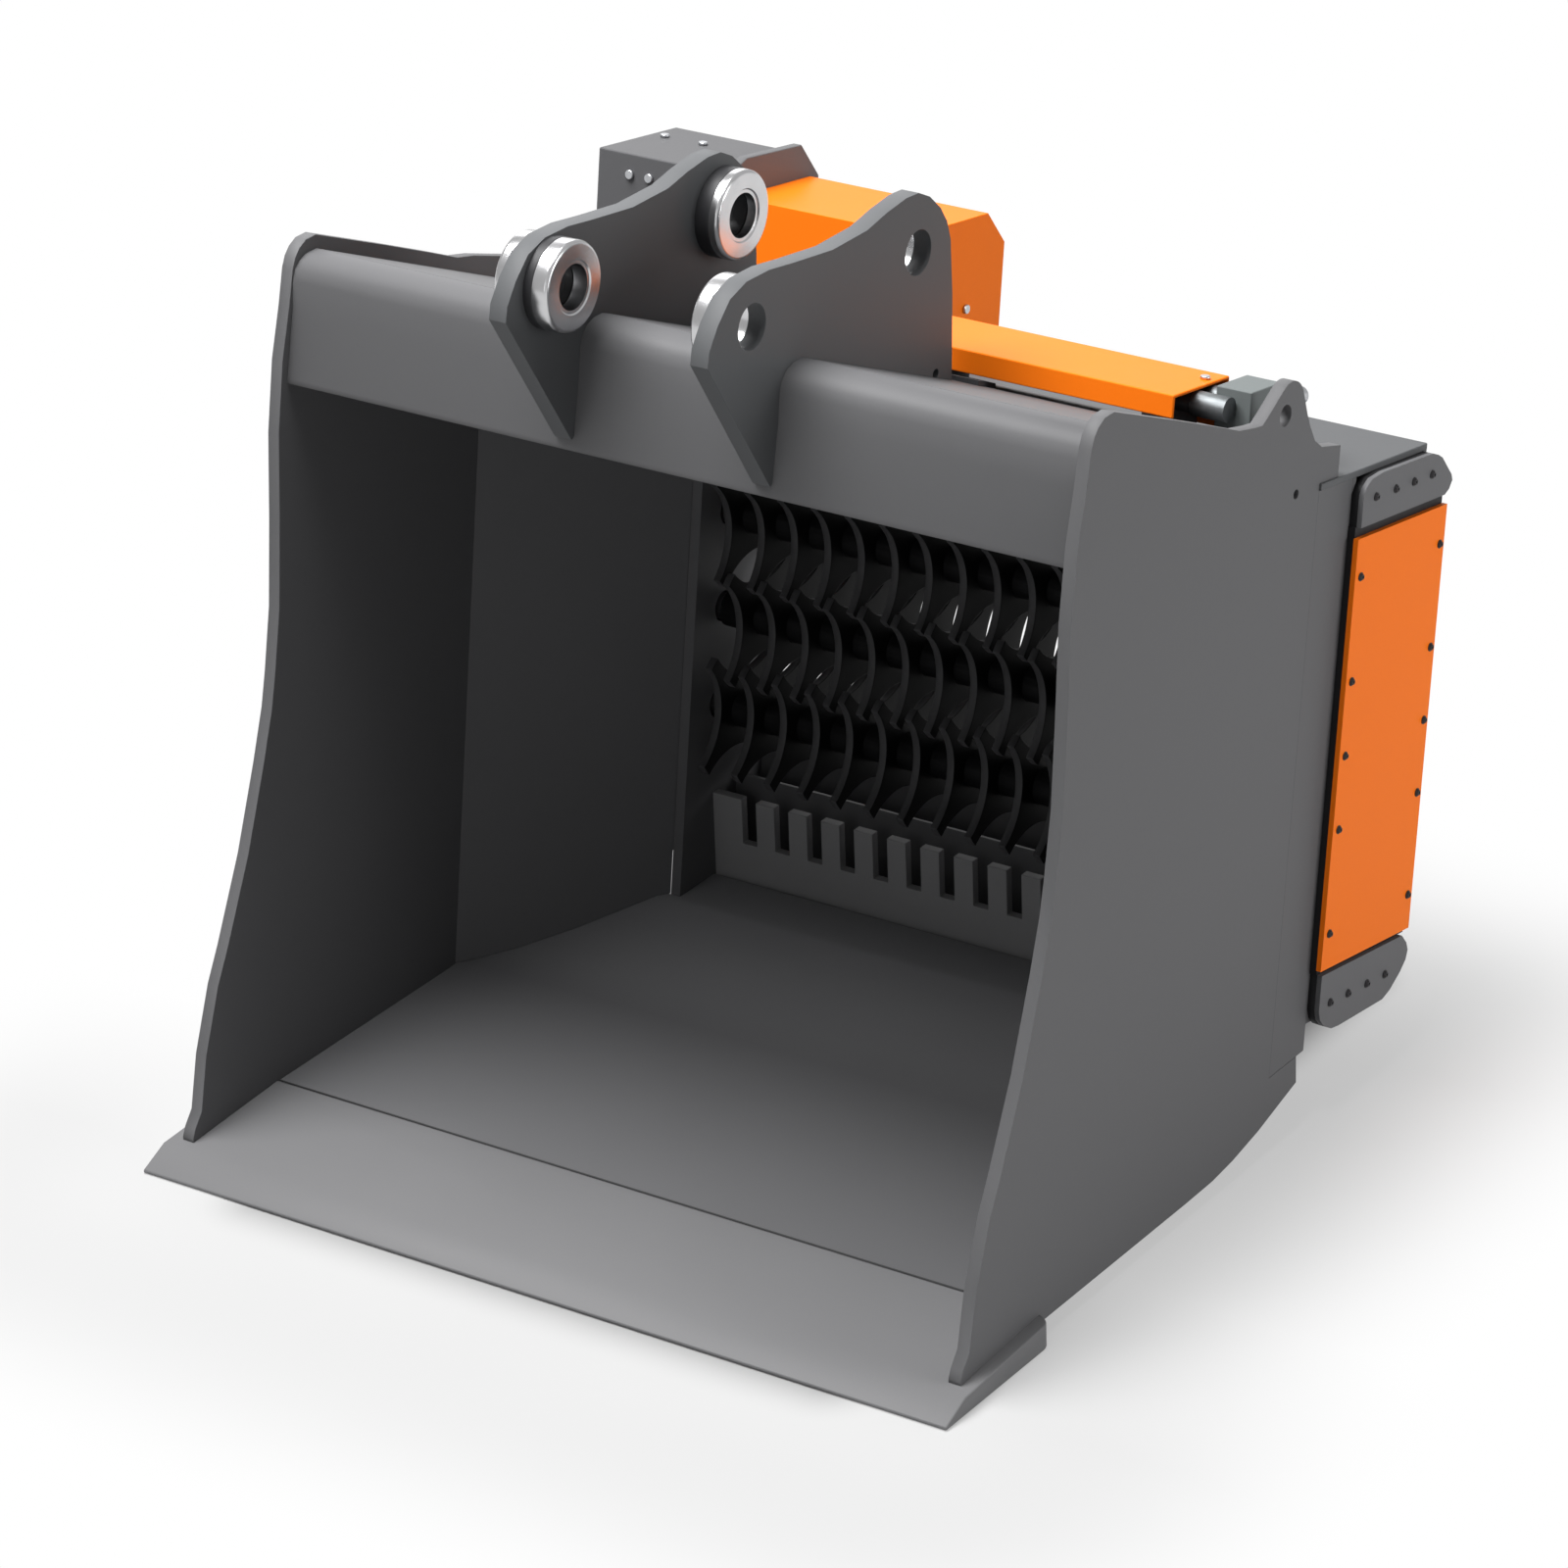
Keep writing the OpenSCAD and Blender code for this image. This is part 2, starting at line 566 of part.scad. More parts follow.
shaft_left = sprocket_x + 2 * plane_gap + chain_w;
shaft_right = cheek_in + bearing_l + hub_end;
module shaft(k) color(steel) set() bar(-shaft_left, shaft_right, 0, rotor_s(k), shaft_d);
module shaft_1() shaft(1);
module shaft_2() shaft(2);
module shaft_3() shaft(3);
module shaft_4() shaft(4);

seat_r = 4.5;
module teeth_ring(x) translate([x - tooth_w / 2, 0, 0]) rotate([90, 0, 90])
    linear_extrude(tooth_w) difference() {
        circle(sprocket_r);
        for (i = [0 : teeth - 1]) rotate(i * 360 / teeth) translate([sprocket_r, 0])
            circle(seat_r);
    }
module toothed_hub(planes) difference() {
    union() {
        for (p = planes) teeth_ring(-sprocket_x - p * plane_gap);
        translate([-shaft_left + run_gap, 0, 0]) rotate([0, 90, 0])
            cylinder(h = shaft_left - cheek_in - bearing_l - 2 * run_gap, d = hub_d);
    }
    translate([-shaft_left - over, 0, 0]) rotate([0, 90, 0])
        cylinder(h = shaft_left, d = shaft_d + 2 * fit_gap);
}
module sprocket(k, planes) color(steel) set() leaned() translate([0, 0, rotor_s(k)])
    toothed_hub(planes);
module sprocket_1() sprocket(1, [0]);
module sprocket_2() sprocket(2, [0, 1]);
module sprocket_3() sprocket(3, [0, 1]);
module sprocket_4() sprocket(4, [0, 2]);

// Outline of a chain round two equal sprockets a distance apart
module loop_outline(r, l) union() {
    circle(r);
    translate([0, l]) circle(r);
    translate([-r, 0]) square([2 * r, l]);
}
module chain_loop(p, l) slab(-sprocket_x - p * plane_gap - chain_w / 2, chain_w) difference() {
    loop_outline(sprocket_r + run_gap + chain_t, l);
    loop_outline(sprocket_r + run_gap, l);
}
drive_l = norm([motor_n, motor_s - rotor_s(4)]);
module drive_chains() color(black) set() leaned() {
    for (k = [1, 3]) translate([0, 0, rotor_s(k)]) chain_loop(0, rotor_pitch);
    translate([0, 0, rotor_s(2)]) chain_loop(1, rotor_pitch);
    translate([0, 0, rotor_s(4)]) rotate([-atan2(motor_n, motor_s - rotor_s(4)), 0, 0])
        chain_loop(2, drive_l);
}

// Dark box over the upper chain and the plate that carries the motor
box_x = [-skin_x, -cheek_in - box_wall_x];
module chain_box() color(paint) set() difference() {
    lean_slab(box_x[0], box_x[1] - box_x[0]) rect(box_n, [cap_s, cap_s + box_up]);
    lean_slab(box_x[0] + plate_t, box_x[1] - box_x[0]) rect([box_n[0] + plate_t,
        box_n[1] - plate_t], [cap_s - over, cap_s + box_up - plate_t]);
}
box_front_bolts = [[-469, 149], [-442, 149]];
box_top_bolts = [[-493, 69], [-439, 69]];
module box_bolts() color(steel) set() leaned() {
    for (b = box_front_bolts) translate([b[0], box_n[0] - bolt_head_h, cap_s + b[1]])
        rotate([-90, 0, 0]) cylinder(h = bolt_head_h, d = bolt_head_d);
    for (b = box_top_bolts) translate([b[0], b[1], cap_s + box_up])
        cylinder(h = bolt_head_h, d = bolt_head_d);
}
plate_x = -cheek_in - box_wall_x;
module motor_plate() color(paint) set() difference() {
    lean_slab(plate_x, motor_plate_t) polygon([[box_n[0], cap_s], [box_n[0], cap_s + box_up],
        [box_n[0] + 33, cap_s + box_up + 14], [box_n[1] - 10, cap_s + box_up + 12],
        [box_n[1] + 30, cap_s + box_up - 30], [box_n[1] + 30, cap_s]]);
    bar(plate_x - over, plate_x + motor_plate_t + over, motor_n, motor_s, hub_d + 2 * seal_gap);
}
motor_x = plate_x + motor_plate_t;
motor_flange = 110;
port_front = motor_n - port_w / 2;
port_mid = motor_x + motor_l + port_l / 2;
port_x = [port_mid - port_off, port_mid + port_off];
hood_end_x = motor_x + motor_l + port_l + port_clear + hood_t;
hood_drop_n = back_n + 1;
module motor() color(black) set() difference() {
    union() {
        bar(motor_x, motor_x + motor_l, motor_n, motor_s, motor_d);
        leaned() translate([motor_x, motor_n - motor_flange / 2, motor_s - motor_flange / 2])
            cube([flange_t, motor_flange, motor_flange * 0.95]);
        leaned() translate([motor_x + motor_l, port_front, motor_s - port_w / 2])
            cube([port_l, port_w, port_w]);
    }
    bar(motor_x - over, motor_x + shaft_out, motor_n, motor_s, shaft_d + 2 * fit_gap);
}
motor_bolt = 45;
module motor_bolts() color(steel) set() for (a = [-1, 1]) for (b = [-1, 1])
    bar(motor_x + flange_t, motor_x + flange_t + bolt_head_h, motor_n + a * motor_bolt,
        motor_s + b * motor_bolt, bolt_head_d);
module motor_shaft() color(steel) set()
    bar(-shaft_left, motor_x + shaft_out - 2, motor_n, motor_s, shaft_d);
module motor_sprocket() color(steel) set() leaned() translate([0, motor_n, motor_s])
    difference() {
        union() {
            teeth_ring(-chain_x0);
            translate([-shaft_left + run_gap, 0, 0]) rotate([0, 90, 0])
                cylinder(h = 2 * plane_gap, d = hub_d);
        }
        translate([-shaft_left - over, 0, 0]) rotate([0, 90, 0])
            cylinder(h = far / 4, d = shaft_d + 2 * fit_gap);
    }

// Sheet hood over the motor
function hood_points(t) = [[hood_n[0] + t, cap_s], [hood_n[0] + t, cap_s + hood_up - t],
    [hood_n[1] - hood_cut - t / 2, cap_s + hood_up - t], [hood_n[1] - t, cap_s + hood_up
    - hood_cut - t / 2], [hood_n[1] - t, cap_s - hood_low], [hood_drop_n + t, cap_s - hood_low],
    [hood_drop_n + t, cap_s]];
module motor_cover() color(orange) set() difference() {
    lean_slab(motor_x, hood_end_x - motor_x) polygon(hood_points(0));
    lean_slab(motor_x - over, hood_end_x - motor_x + over - hood_t)
        difference() {
            polygon(hood_points(hood_t));
            rect([0, hood_drop_n + hood_t], [cap_s - hood_low - over, cap_s - over]);
        }
    lean_slab(motor_x - over, hood_end_x - motor_x + over - hood_t)
        rect([hood_n[0] + hood_t, hood_n[1] - hood_cut], [cap_s - over, cap_s + over]);
    leaned() for (x = port_x) translate([x, hood_n[0] - over, hose_s]) rotate([-90, 0, 0])
        cylinder(h = hood_t + 2 * over, d = hose_d + 2);
}
hood_bolt = [96, 39];
hc_bolt = [12, -175];
module hood_bolts() color(steel) set() {
    bar(hood_end_x, hood_end_x + bolt_head_h, hood_bolt[0], cap_s + hood_bolt[1], bolt_head_d);
    leaned() translate([hc_x[1] - hc_bolt[0], hc_bolt[1], hc_s])
        cylinder(h = bolt_head_h, d = bolt_head_d);
}

// Low channel over the hoses
module hose_cover() color(orange) set() lean_slab(hc_x[0], hc_x[1] - hc_x[0]) polygon([
    [hc_n[0], hc_s - hc_front_h], [hc_n[0], hc_s], [hc_n[1], hc_s], [hc_n[1], hc_s - hc_back_h],
    [hc_n[1] - hood_t, hc_s - hc_back_h], [hc_n[1] - hood_t, hc_s - hood_t],
    [hc_n[0] + hood_t, hc_s - hood_t], [hc_n[0] + hood_t, hc_s - hc_front_h]]);
post_x = [hc_x[0] + 30, hc_x[1] - 40];
pad_w = 95;
pad_n = [-272, -236];
pad_y = [for (n = pad_n) world(n, deck_s(n))[0]];
module cover_brackets() color(paint) set() difference() {
    union() {
        for (x = post_x) leaned() translate([x, hc_n[0] + hood_t, 0])
            cube([foot_t, hc_n[1] - hc_n[0] - 2 * hood_t, hc_s - hood_t]);
        slab(post_x[0], pad_w) polygon([[pad_y[0], 0], [pad_y[0], deck_z(pad_y[0]) + foot_t],
            [pad_y[1], deck_z(pad_y[1]) + foot_t], [pad_y[1], 0]]);
    }
    slab(-far / 2, far) polygon([[0, 0], [0, deck_z(0)], [far / 2, deck_z(far / 2)],
        [far / 2, 0]]);
    leaned() for (n = hose_n) translate([0, n - hose_d / 2 - 1, hose_s - hose_d / 2 - 1])
        cube([far / 2, hose_d + 2, hose_d + 2]);
}
module bend(x, n, r, a) leaned() translate([x, n, hose_s]) rotate(a)
    rotate_extrude(angle = 90) translate([r, 0]) circle(d = hose_d);
module hoses() color(black) set() for (i = [0, 1]) {
    bar(port_x[i] + bend_r, block_x[0] - nut_l, hose_n[i], hose_s, hose_d);
    bend(port_x[i] + bend_r, hose_n[i] + bend_r, bend_r, 180);
    leaned() translate([port_x[i], hose_n[i] + bend_r, hose_s]) rotate([-90, 0, 0])
        cylinder(h = port_front - nut_l - hose_n[i] - bend_r, d = hose_d);
}
module hose_fittings() color(steel) set() {
    for (x = port_x) leaned() translate([x, port_front - nut_l, hose_s]) rotate([-90, 0, 0])
        cylinder(h = nut_l, d = nut_d);
    bar(block_x[0] - nut_l, block_x[0], hose_n[1], hose_s, nut_d);
    bar(block_x[0] - nut_l, block_x[0] + elbow_l, hose_n[0], hose_s, nut_d);
    leaned() translate([block_x[0] + elbow_l / 2, hose_n[0], hose_s]) rotate([-90, 0, 0])
        cylinder(h = block_n[0] - hose_n[0], d = elbow_l - foot_t);
}
module manifold() color(paint) set() difference() {
    leaned() translate([block_x[0], block_n[0], 0])
        cube([block_x[1] - block_x[0], block_n[1] - block_n[0], hose_s + block_over]);
    slab(-far / 2, far) polygon([[0, 0], [0, deck_z(0)], [far / 2, deck_z(far / 2)],
        [far / 2, 0]]);
}
module couplers() color(steel) set() for (x = coupler_in) leaned()
    translate([block_x[0] + x, block_n[1], hose_s - coupler_down]) rotate([-90, 0, 0])
    difference() {
        cylinder(h = coupler_l, d = coupler_d);
        translate([0, 0, coupler_l / 2]) cylinder(h = coupler_l, d = coupler_bore);
    }

side_plate_left();
side_plate_right();
cutting_lip();
floor_plate();
wear_strips();
cheek_left();
cheek_right();
upper_beam();
top_plate();
ear_left();
ear_right();
pin_collars();
frame_strips();
cap_plate();
chamber_wall_left();
chamber_wall_right();
casing_left();
casing_right();
rim_left();
rim_right();
side_cover_left();
side_cover_right();
upper_guards();
lower_guards();
cover_bolts();
guard_bolts();
comb();
rear_sill();
rear_tie();
bearing_housings();
bearing_bolts();
rotor_1();
rotor_2();
rotor_3();
rotor_4();
shaft_1();
shaft_2();
shaft_3();
shaft_4();
sprocket_1();
sprocket_2();
sprocket_3();
sprocket_4();
drive_chains();
chain_box();
box_bolts();
motor_plate();
motor();
motor_bolts();
motor_shaft();
motor_sprocket();
motor_cover();
hood_bolts();
hose_cover();
cover_brackets();
hoses();
hose_fittings();
manifold();
couplers();
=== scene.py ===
import json
import math

import bmesh
import bpy
from mathutils import Matrix, Vector

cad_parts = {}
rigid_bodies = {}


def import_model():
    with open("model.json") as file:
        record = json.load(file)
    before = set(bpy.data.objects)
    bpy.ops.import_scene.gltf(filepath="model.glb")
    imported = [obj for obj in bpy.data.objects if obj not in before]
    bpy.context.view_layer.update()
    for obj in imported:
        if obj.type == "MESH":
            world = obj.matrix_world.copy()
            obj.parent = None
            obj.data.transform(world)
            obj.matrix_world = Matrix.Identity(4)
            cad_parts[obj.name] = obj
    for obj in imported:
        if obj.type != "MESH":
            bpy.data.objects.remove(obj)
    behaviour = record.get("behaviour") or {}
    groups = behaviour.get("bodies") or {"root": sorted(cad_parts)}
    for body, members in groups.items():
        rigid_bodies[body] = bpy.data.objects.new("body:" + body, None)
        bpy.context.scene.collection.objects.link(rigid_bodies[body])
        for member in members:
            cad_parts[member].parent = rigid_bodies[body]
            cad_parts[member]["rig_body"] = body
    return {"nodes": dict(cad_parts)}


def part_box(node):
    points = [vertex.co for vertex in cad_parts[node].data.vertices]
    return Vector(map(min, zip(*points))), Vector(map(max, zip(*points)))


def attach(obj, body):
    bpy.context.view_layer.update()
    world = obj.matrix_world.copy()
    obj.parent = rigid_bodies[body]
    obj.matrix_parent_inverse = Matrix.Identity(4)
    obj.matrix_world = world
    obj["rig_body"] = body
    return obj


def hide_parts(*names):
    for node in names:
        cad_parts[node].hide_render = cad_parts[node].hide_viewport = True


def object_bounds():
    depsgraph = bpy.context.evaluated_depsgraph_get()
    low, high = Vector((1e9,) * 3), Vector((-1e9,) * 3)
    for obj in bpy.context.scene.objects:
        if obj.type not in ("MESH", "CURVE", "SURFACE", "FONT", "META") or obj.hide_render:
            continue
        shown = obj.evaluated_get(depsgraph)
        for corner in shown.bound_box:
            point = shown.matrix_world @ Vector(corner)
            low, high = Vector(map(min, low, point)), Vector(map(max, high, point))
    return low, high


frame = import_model()
cad_box = [list(corner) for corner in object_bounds()]


# Shell: side plates, cutting lip, floor, cheeks, the closed box beam over the mouth and the deck behind it.
# Cut from structural steel plate, welded up as one scoop and sprayed with a satin grey powder coat
# that rounds the cut edges a little.
class Value:
    """A socket of a node tree that can stand in a sum."""

    def __init__(self, nodes, socket):
        self.nodes, self.socket = nodes, socket

    def sum_of(self, operation, a, b=0.0):
        return self.nodes.add("ShaderNodeMath", {"operation": operation}, {0: a, 1: b})

    def __add__(self, other):
        return self.sum_of("ADD", self, other)

    def __radd__(self, other):
        return self.sum_of("ADD", other, self)

    def __sub__(self, other):
        return self.sum_of("SUBTRACT", self, other)

    def __rsub__(self, other):
        return self.sum_of("SUBTRACT", other, self)

    def __mul__(self, other):
        return self.sum_of("MULTIPLY", self, other)

    def __rmul__(self, other):
        return self.sum_of("MULTIPLY", other, self)

    def __truediv__(self, other):
        return self.sum_of("DIVIDE", self, other)

    def __rtruediv__(self, other):
        return self.sum_of("DIVIDE", other, self)

    def __pow__(self, other):
        return self.sum_of("POWER", self, other)

    def sine(self):
        return self.sum_of("SINE", self)

    def least(self, other):
        return self.sum_of("MINIMUM", self, other)

    def most(self, other):
        return self.sum_of("MAXIMUM", self, other)


class Nodes:
    """A node tree and the one way that nodes are added to it."""

    def __init__(self, tree):
        self.tree = tree

    def add(self, kind, settings=None, inputs=None, out=0):
        made = self.tree.nodes.new(kind)
        for key, value in (settings or {}).items():
            if key == "stops":
                while len(made.color_ramp.elements) < len(value):
                    made.color_ramp.elements.new(0.5)
                for element, (place, colour) in zip(made.color_ramp.elements, value):
                    element.position, element.color = place, colour
            else:
                setattr(made, key, value)
        for key, value in (inputs or {}).items():
            if isinstance(value, Value):
                self.tree.links.new(value.socket, made.inputs[key])
            else:
                made.inputs[key].default_value = value
        return Value(self, made.outputs[out]) if made.outputs else None


def new_finish(name):
    made = bpy.data.materials.new(name)
    made.use_nodes = True
    made.node_tree.nodes.clear()
    return made, Nodes(made.node_tree)


def close_finish(nodes, shader):
    nodes.add("ShaderNodeOutputMaterial", inputs={"Surface": shader})


def rgb(colour, factor=1.0):
    return (colour[0] * factor, colour[1] * factor, colour[2] * factor, 1.0)


def powder_coat(name, colour, rough, cloud_share, peel, shine=0.16, seam=None, painted_light_depths=None):
    """Sprayed coat with faint clouds and orange peel.

    Painted shade darkens it along a seam at one depth; painted light makes it paler from one depth to
    another.
    """
    made, nodes = new_finish(name)
    place = nodes.add("ShaderNodeTexCoord", out=3)
    cloud = nodes.add("ShaderNodeTexNoise", inputs={"Vector": place, "Scale": 2.6, "Detail": 5.0,
                                                    "Roughness": 0.62})
    grain = nodes.add("ShaderNodeTexNoise", inputs={"Vector": place, "Scale": 430.0, "Detail": 2.0})
    skin = nodes.add("ShaderNodeTexNoise", inputs={"Vector": place, "Scale": 95.0, "Detail": 3.0})
    soft = nodes.add("ShaderNodeMix", {"data_type": "RGBA"}, {
        0: cloud, 6: rgb(colour, 1 - cloud_share), 7: rgb(colour, 1 + cloud_share)}, out=2)
    tone = nodes.add("ShaderNodeMix", {"data_type": "RGBA"}, {
        0: grain * 0.18, 6: soft, 7: rgb(colour, 1.25)}, out=2)
    y = nodes.add("ShaderNodeSeparateXYZ", inputs={"Vector": place}, out=1)
    # Painted light: between the given depths the coat turns paler, standing in for light that reaches
    # there.
    if painted_light_depths:
        painted_light_mask = nodes.add("ShaderNodeMapRange", inputs={0: y, 1: painted_light_depths[0], 2: painted_light_depths[1], 3: 0.0, 4: 1.0})
        tone = nodes.add("ShaderNodeMix", {"data_type": "RGBA"}, {
            0: painted_light_mask, 6: tone, 7: rgb(colour, painted_light_depths[2])}, out=2)
    # Painted shade: a narrow, nearly black line along the seam depth, standing in for shade in the joint.
    if seam is not None:
        seam_painted_shade_mask = nodes.add("ShaderNodeMapRange", {"interpolation_type": "SMOOTHSTEP"},
                         {0: ((y - seam) ** 2) ** 0.5, 1: 0.0012, 2: 0.0030, 3: 0.85, 4: 0.0})
        tone = nodes.add("ShaderNodeMix", {"data_type": "RGBA"}, {
            0: seam_painted_shade_mask, 6: tone, 7: rgb(colour, 0.08)}, out=2)
    normal = nodes.add("ShaderNodeBump", inputs={"Strength": peel, "Distance": 0.0006,
                                                 "Height": grain * 0.4 + skin})
    close_finish(nodes, nodes.add("ShaderNodeBsdfPrincipled", inputs={
        "Base Color": tone, "Roughness": cloud * 0.14 + (rough - 0.07) + grain * 0.04,
        "Specular IOR Level": shine, "Normal": normal}))
    return made


paint_tone = (0.112, 0.112, 0.116)
shell_paint = powder_coat("satin_grey_powder_coat", paint_tone, 0.50, 0.05, 0.14)


def eased(node, finish, width, segments=2, limit=34.0):
    """A copy of a CAD node with its loose triangles joined and its cut edges rounded."""
    mesh = frame["nodes"][node].data.copy()
    shape = bmesh.new()
    shape.from_mesh(mesh)
    bmesh.ops.remove_doubles(shape, verts=shape.verts, dist=1e-5)
    bmesh.ops.dissolve_limit(shape, angle_limit=math.radians(0.5), verts=shape.verts, edges=shape.edges)
    for face in shape.faces:
        bends = [edge.calc_face_angle(0.0) for edge in face.edges]
        face.smooth = any(math.radians(1) < bend < math.radians(limit) for bend in bends)
        face.material_index = 0
    shape.to_mesh(mesh)
    shape.free()
    mesh.materials.clear()
    mesh.materials.append(finish)
    piece = bpy.data.objects.new(node + "_finished", mesh)
    bpy.context.scene.collection.objects.link(piece)
    if width:
        edge = piece.modifiers.new("rounded edges", "BEVEL")
        edge.width, edge.segments = width, segments
        edge.limit_method, edge.angle_limit = "ANGLE", math.radians(limit)
        edge.harden_normals = True
    else:
        mesh.set_sharp_from_angle(angle=math.radians(limit))
    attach(piece, frame["nodes"][node]["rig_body"])
    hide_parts(node)
    return piece


for node, width in (("side_plate_left", 0.0016), ("side_plate_right", 0.0016), ("wear_strips", 0.0015),
                    ("cheek_left", 0.001), ("cheek_right", 0.001), ("upper_beam", 0.0012),
                    ("top_plate", 0.001)):
    eased(node, shell_paint, width)
seam_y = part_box("cutting_lip")[1].y
# Painted sheen: the lip's coat is the grey made paler, standing in for the sheen the lip catches; it also
# gets the painted shade along the seam.
lip_paint_painted_sheen = powder_coat("satin_grey_lip_coat_painted_sheen", (0.150, 0.150, 0.154), 0.46, 0.05, 0.14, seam=seam_y)
# Painted light: the floor's coat grows 2.3 times paler towards the back, standing in for light at the rear
# of the scoop; it also gets the painted shade along the seam.
floor_paint_painted_light_and_shade = powder_coat("satin_grey_floor_coat", paint_tone, 0.50, 0.05, 0.14, seam=seam_y,
                          painted_light_depths=(0.0, 0.19, 2.3))
eased("cutting_lip", lip_paint_painted_sheen, 0.0018)
eased("floor_plate", floor_paint_painted_light_and_shade, 0.0014)


# Hanger: two ears of thicker plate welded over the beam, with turned steel collars round the pin bores.
# The ears take the shell's coat made darker and bluer, painted shade that also cancels orange light bounced
# onto them; the collars stay bright.
# Painted shade: the ears' coat is the shell's grey made darker and bluer, the blue cancelling orange light
# bounced from the covers.
ear_paint_painted_shade = powder_coat("satin_grey_powder_coat_ears_painted_shade", (0.094, 0.097, 0.101), 0.48, 0.05, 0.14)
for node in ("ear_left", "ear_right"):
    eased(node, ear_paint_painted_shade, 0.0022, segments=3)

collar_low, collar_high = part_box("pin_collars")
collar_r = 0.050
pin_axes = [(collar_low.y + collar_r, collar_high.z - collar_r),
            (collar_high.y - collar_r, collar_low.z + collar_r)]


def turned_steel(name, axes, colour, rough, pitch):
    """Bright steel with the fine rings that a lathe tool leaves round the nearest axis."""
    made, nodes = new_finish(name)
    place = nodes.add("ShaderNodeTexCoord", out=3)
    y = nodes.add("ShaderNodeSeparateXYZ", inputs={"Vector": place}, out=1)
    z = nodes.add("ShaderNodeSeparateXYZ", inputs={"Vector": place}, out=2)
    away = None
    for axis_y, axis_z in axes:
        far = ((y - axis_y) ** 2 + (z - axis_z) ** 2) ** 0.5
        away = far if away is None else away.least(far)
    ring = (away * (2 * math.pi / pitch)).sine()
    smear = nodes.add("ShaderNodeTexNoise", inputs={"Vector": place, "Scale": 38.0, "Detail": 3.0})
    tone = nodes.add("ShaderNodeMix", {"data_type": "RGBA"}, {
        0: smear, 6: rgb(colour, 0.86), 7: rgb(colour, 1.1)}, out=2)
    normal = nodes.add("ShaderNodeBump", inputs={"Strength": 0.12, "Distance": 0.0004,
                                                 "Height": ring + smear * 0.3})
    close_finish(nodes, nodes.add("ShaderNodeBsdfPrincipled", inputs={
        "Base Color": tone, "Metallic": 1.0, "Roughness": smear * 0.14 + rough, "Normal": normal}))
    return made


collar_steel = turned_steel("turned_collar_steel", pin_axes, (0.60, 0.60, 0.61), 0.16, 0.0011)


def lathe(name, rings, axis_x, axis_y, axis_z, finish, steps=72):
    """A closed ring turned about X: rings are (x along the axis, radius) going once round the section."""
    shape = bmesh.new()
    loops = []
    for step in range(steps):
        a = 2 * math.pi * step / steps
        loops.append([shape.verts.new((axis_x + x, axis_y + r * math.cos(a), axis_z + r * math.sin(a)))
                      for x, r in rings])
    for step in range(steps):
        a, b = loops[step], loops[(step + 1) % steps]
        for i in range(len(rings)):
            j = (i + 1) % len(rings)
            shape.faces.new((a[i], a[j], b[j], b[i])).smooth = True
    bmesh.ops.recalc_face_normals(shape, faces=shape.faces)
    mesh = bpy.data.meshes.new(name)
    shape.to_mesh(mesh)
    shape.free()
    mesh.materials.append(finish)
    mesh.set_sharp_from_angle(angle=math.radians(32))
    piece = bpy.data.objects.new(name, mesh)
    bpy.context.scene.collection.objects.link(piece)
    return piece


def join(name, pieces, body, slot, *nodes):
    """Several meshes of one finish kept as one piece that stands for CAD nodes."""
    shape = bmesh.new()
    finishes = []
    for piece in pieces:
        for finish in piece.data.materials:
            if finish not in finishes:
                finishes.append(finish)
        before = len(shape.faces)
        shape.from_mesh(piece.data)
        shape.faces.ensure_lookup_table()
        for face in shape.faces[before:]:
            face.material_index = finishes.index(piece.data.materials[face.material_index])
    mesh = bpy.data.meshes.new(name)
    shape.to_mesh(mesh)
    shape.free()
    for finish in finishes:
        mesh.materials.append(finish)
    for piece in pieces:
        bpy.data.objects.remove(piece)
    whole = bpy.data.objects.new(name, mesh)
    bpy.context.scene.collection.objects.link(whole)
    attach(whole, body)
    if nodes:
        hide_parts(*nodes)
    return whole


ear_in, ear_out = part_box("ear_right")[0].x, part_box("ear_right")[1].x
bore_r = 0.025
# Painted shade: the collars' bases next to the ears are coated nearly black, standing in for the shade
# where they meet the ears.
collar_base_painted_shade = powder_coat("collar_base_coat_painted_shade", (0.020, 0.020, 0.022), 0.42, 0.1, 0.14, 0.3)


def ring_section(start, end, edge, out):
    """Section of a ring between two distances from the ear, its outer rim rounded by edge."""
    points = [(start, bore_r), (start, collar_r)]
    points += [(end - edge + edge * math.sin(a), collar_r - edge + edge * math.cos(a))
               for a in (math.radians(15 * i) for i in range(7))]
    points += [(end, bore_r + 0.005), (end - 0.0015, bore_r + 0.0035), (end - 0.0015, bore_r)]
    return [(x * out, r) for x, r in points]


rings = []
for (axis_y, axis_z), base in zip(pin_axes, (0.011, 0.018)):
    rings.append(lathe("base", ring_section(0, base, 0.002, 1), -ear_in, axis_y, axis_z, collar_base_painted_shade))
    rings.append(lathe("ring", ring_section(base, 0.030, 0.005, 1), -ear_in, axis_y, axis_z, collar_steel))
    rings.append(lathe("ring", ring_section(0, 0.022, 0.005, -1), ear_in, axis_y, axis_z, collar_steel))
rings.append(lathe("ring", ring_section(0, -ear_out - collar_low.x, 0.005, -1), -ear_out, *pin_axes[0],
                   collar_steel))
join("turned_pin_collars", rings, "bucket", "machined_steel", "pin_collars")


# Screen frame: the strips, cap plate, chamber walls and casings that hold the leaning screen.
# Welded plate under the same grey coat. The comb is cut from one strip, and its coat is painted paler than
# the rest, as painted light.
# The cap plate takes the ears' darker coat, painted shade.
eased("cap_plate", ear_paint_painted_shade, 0.0014)
for node, width in (("frame_strips", 0.001), ("chamber_wall_left", 0.001),
                    ("chamber_wall_right", 0.001), ("casing_left", 0.001), ("casing_right", 0.001),
                    ("rear_sill", 0.001), ("rear_tie", 0.001)):
    eased(node, shell_paint, width)
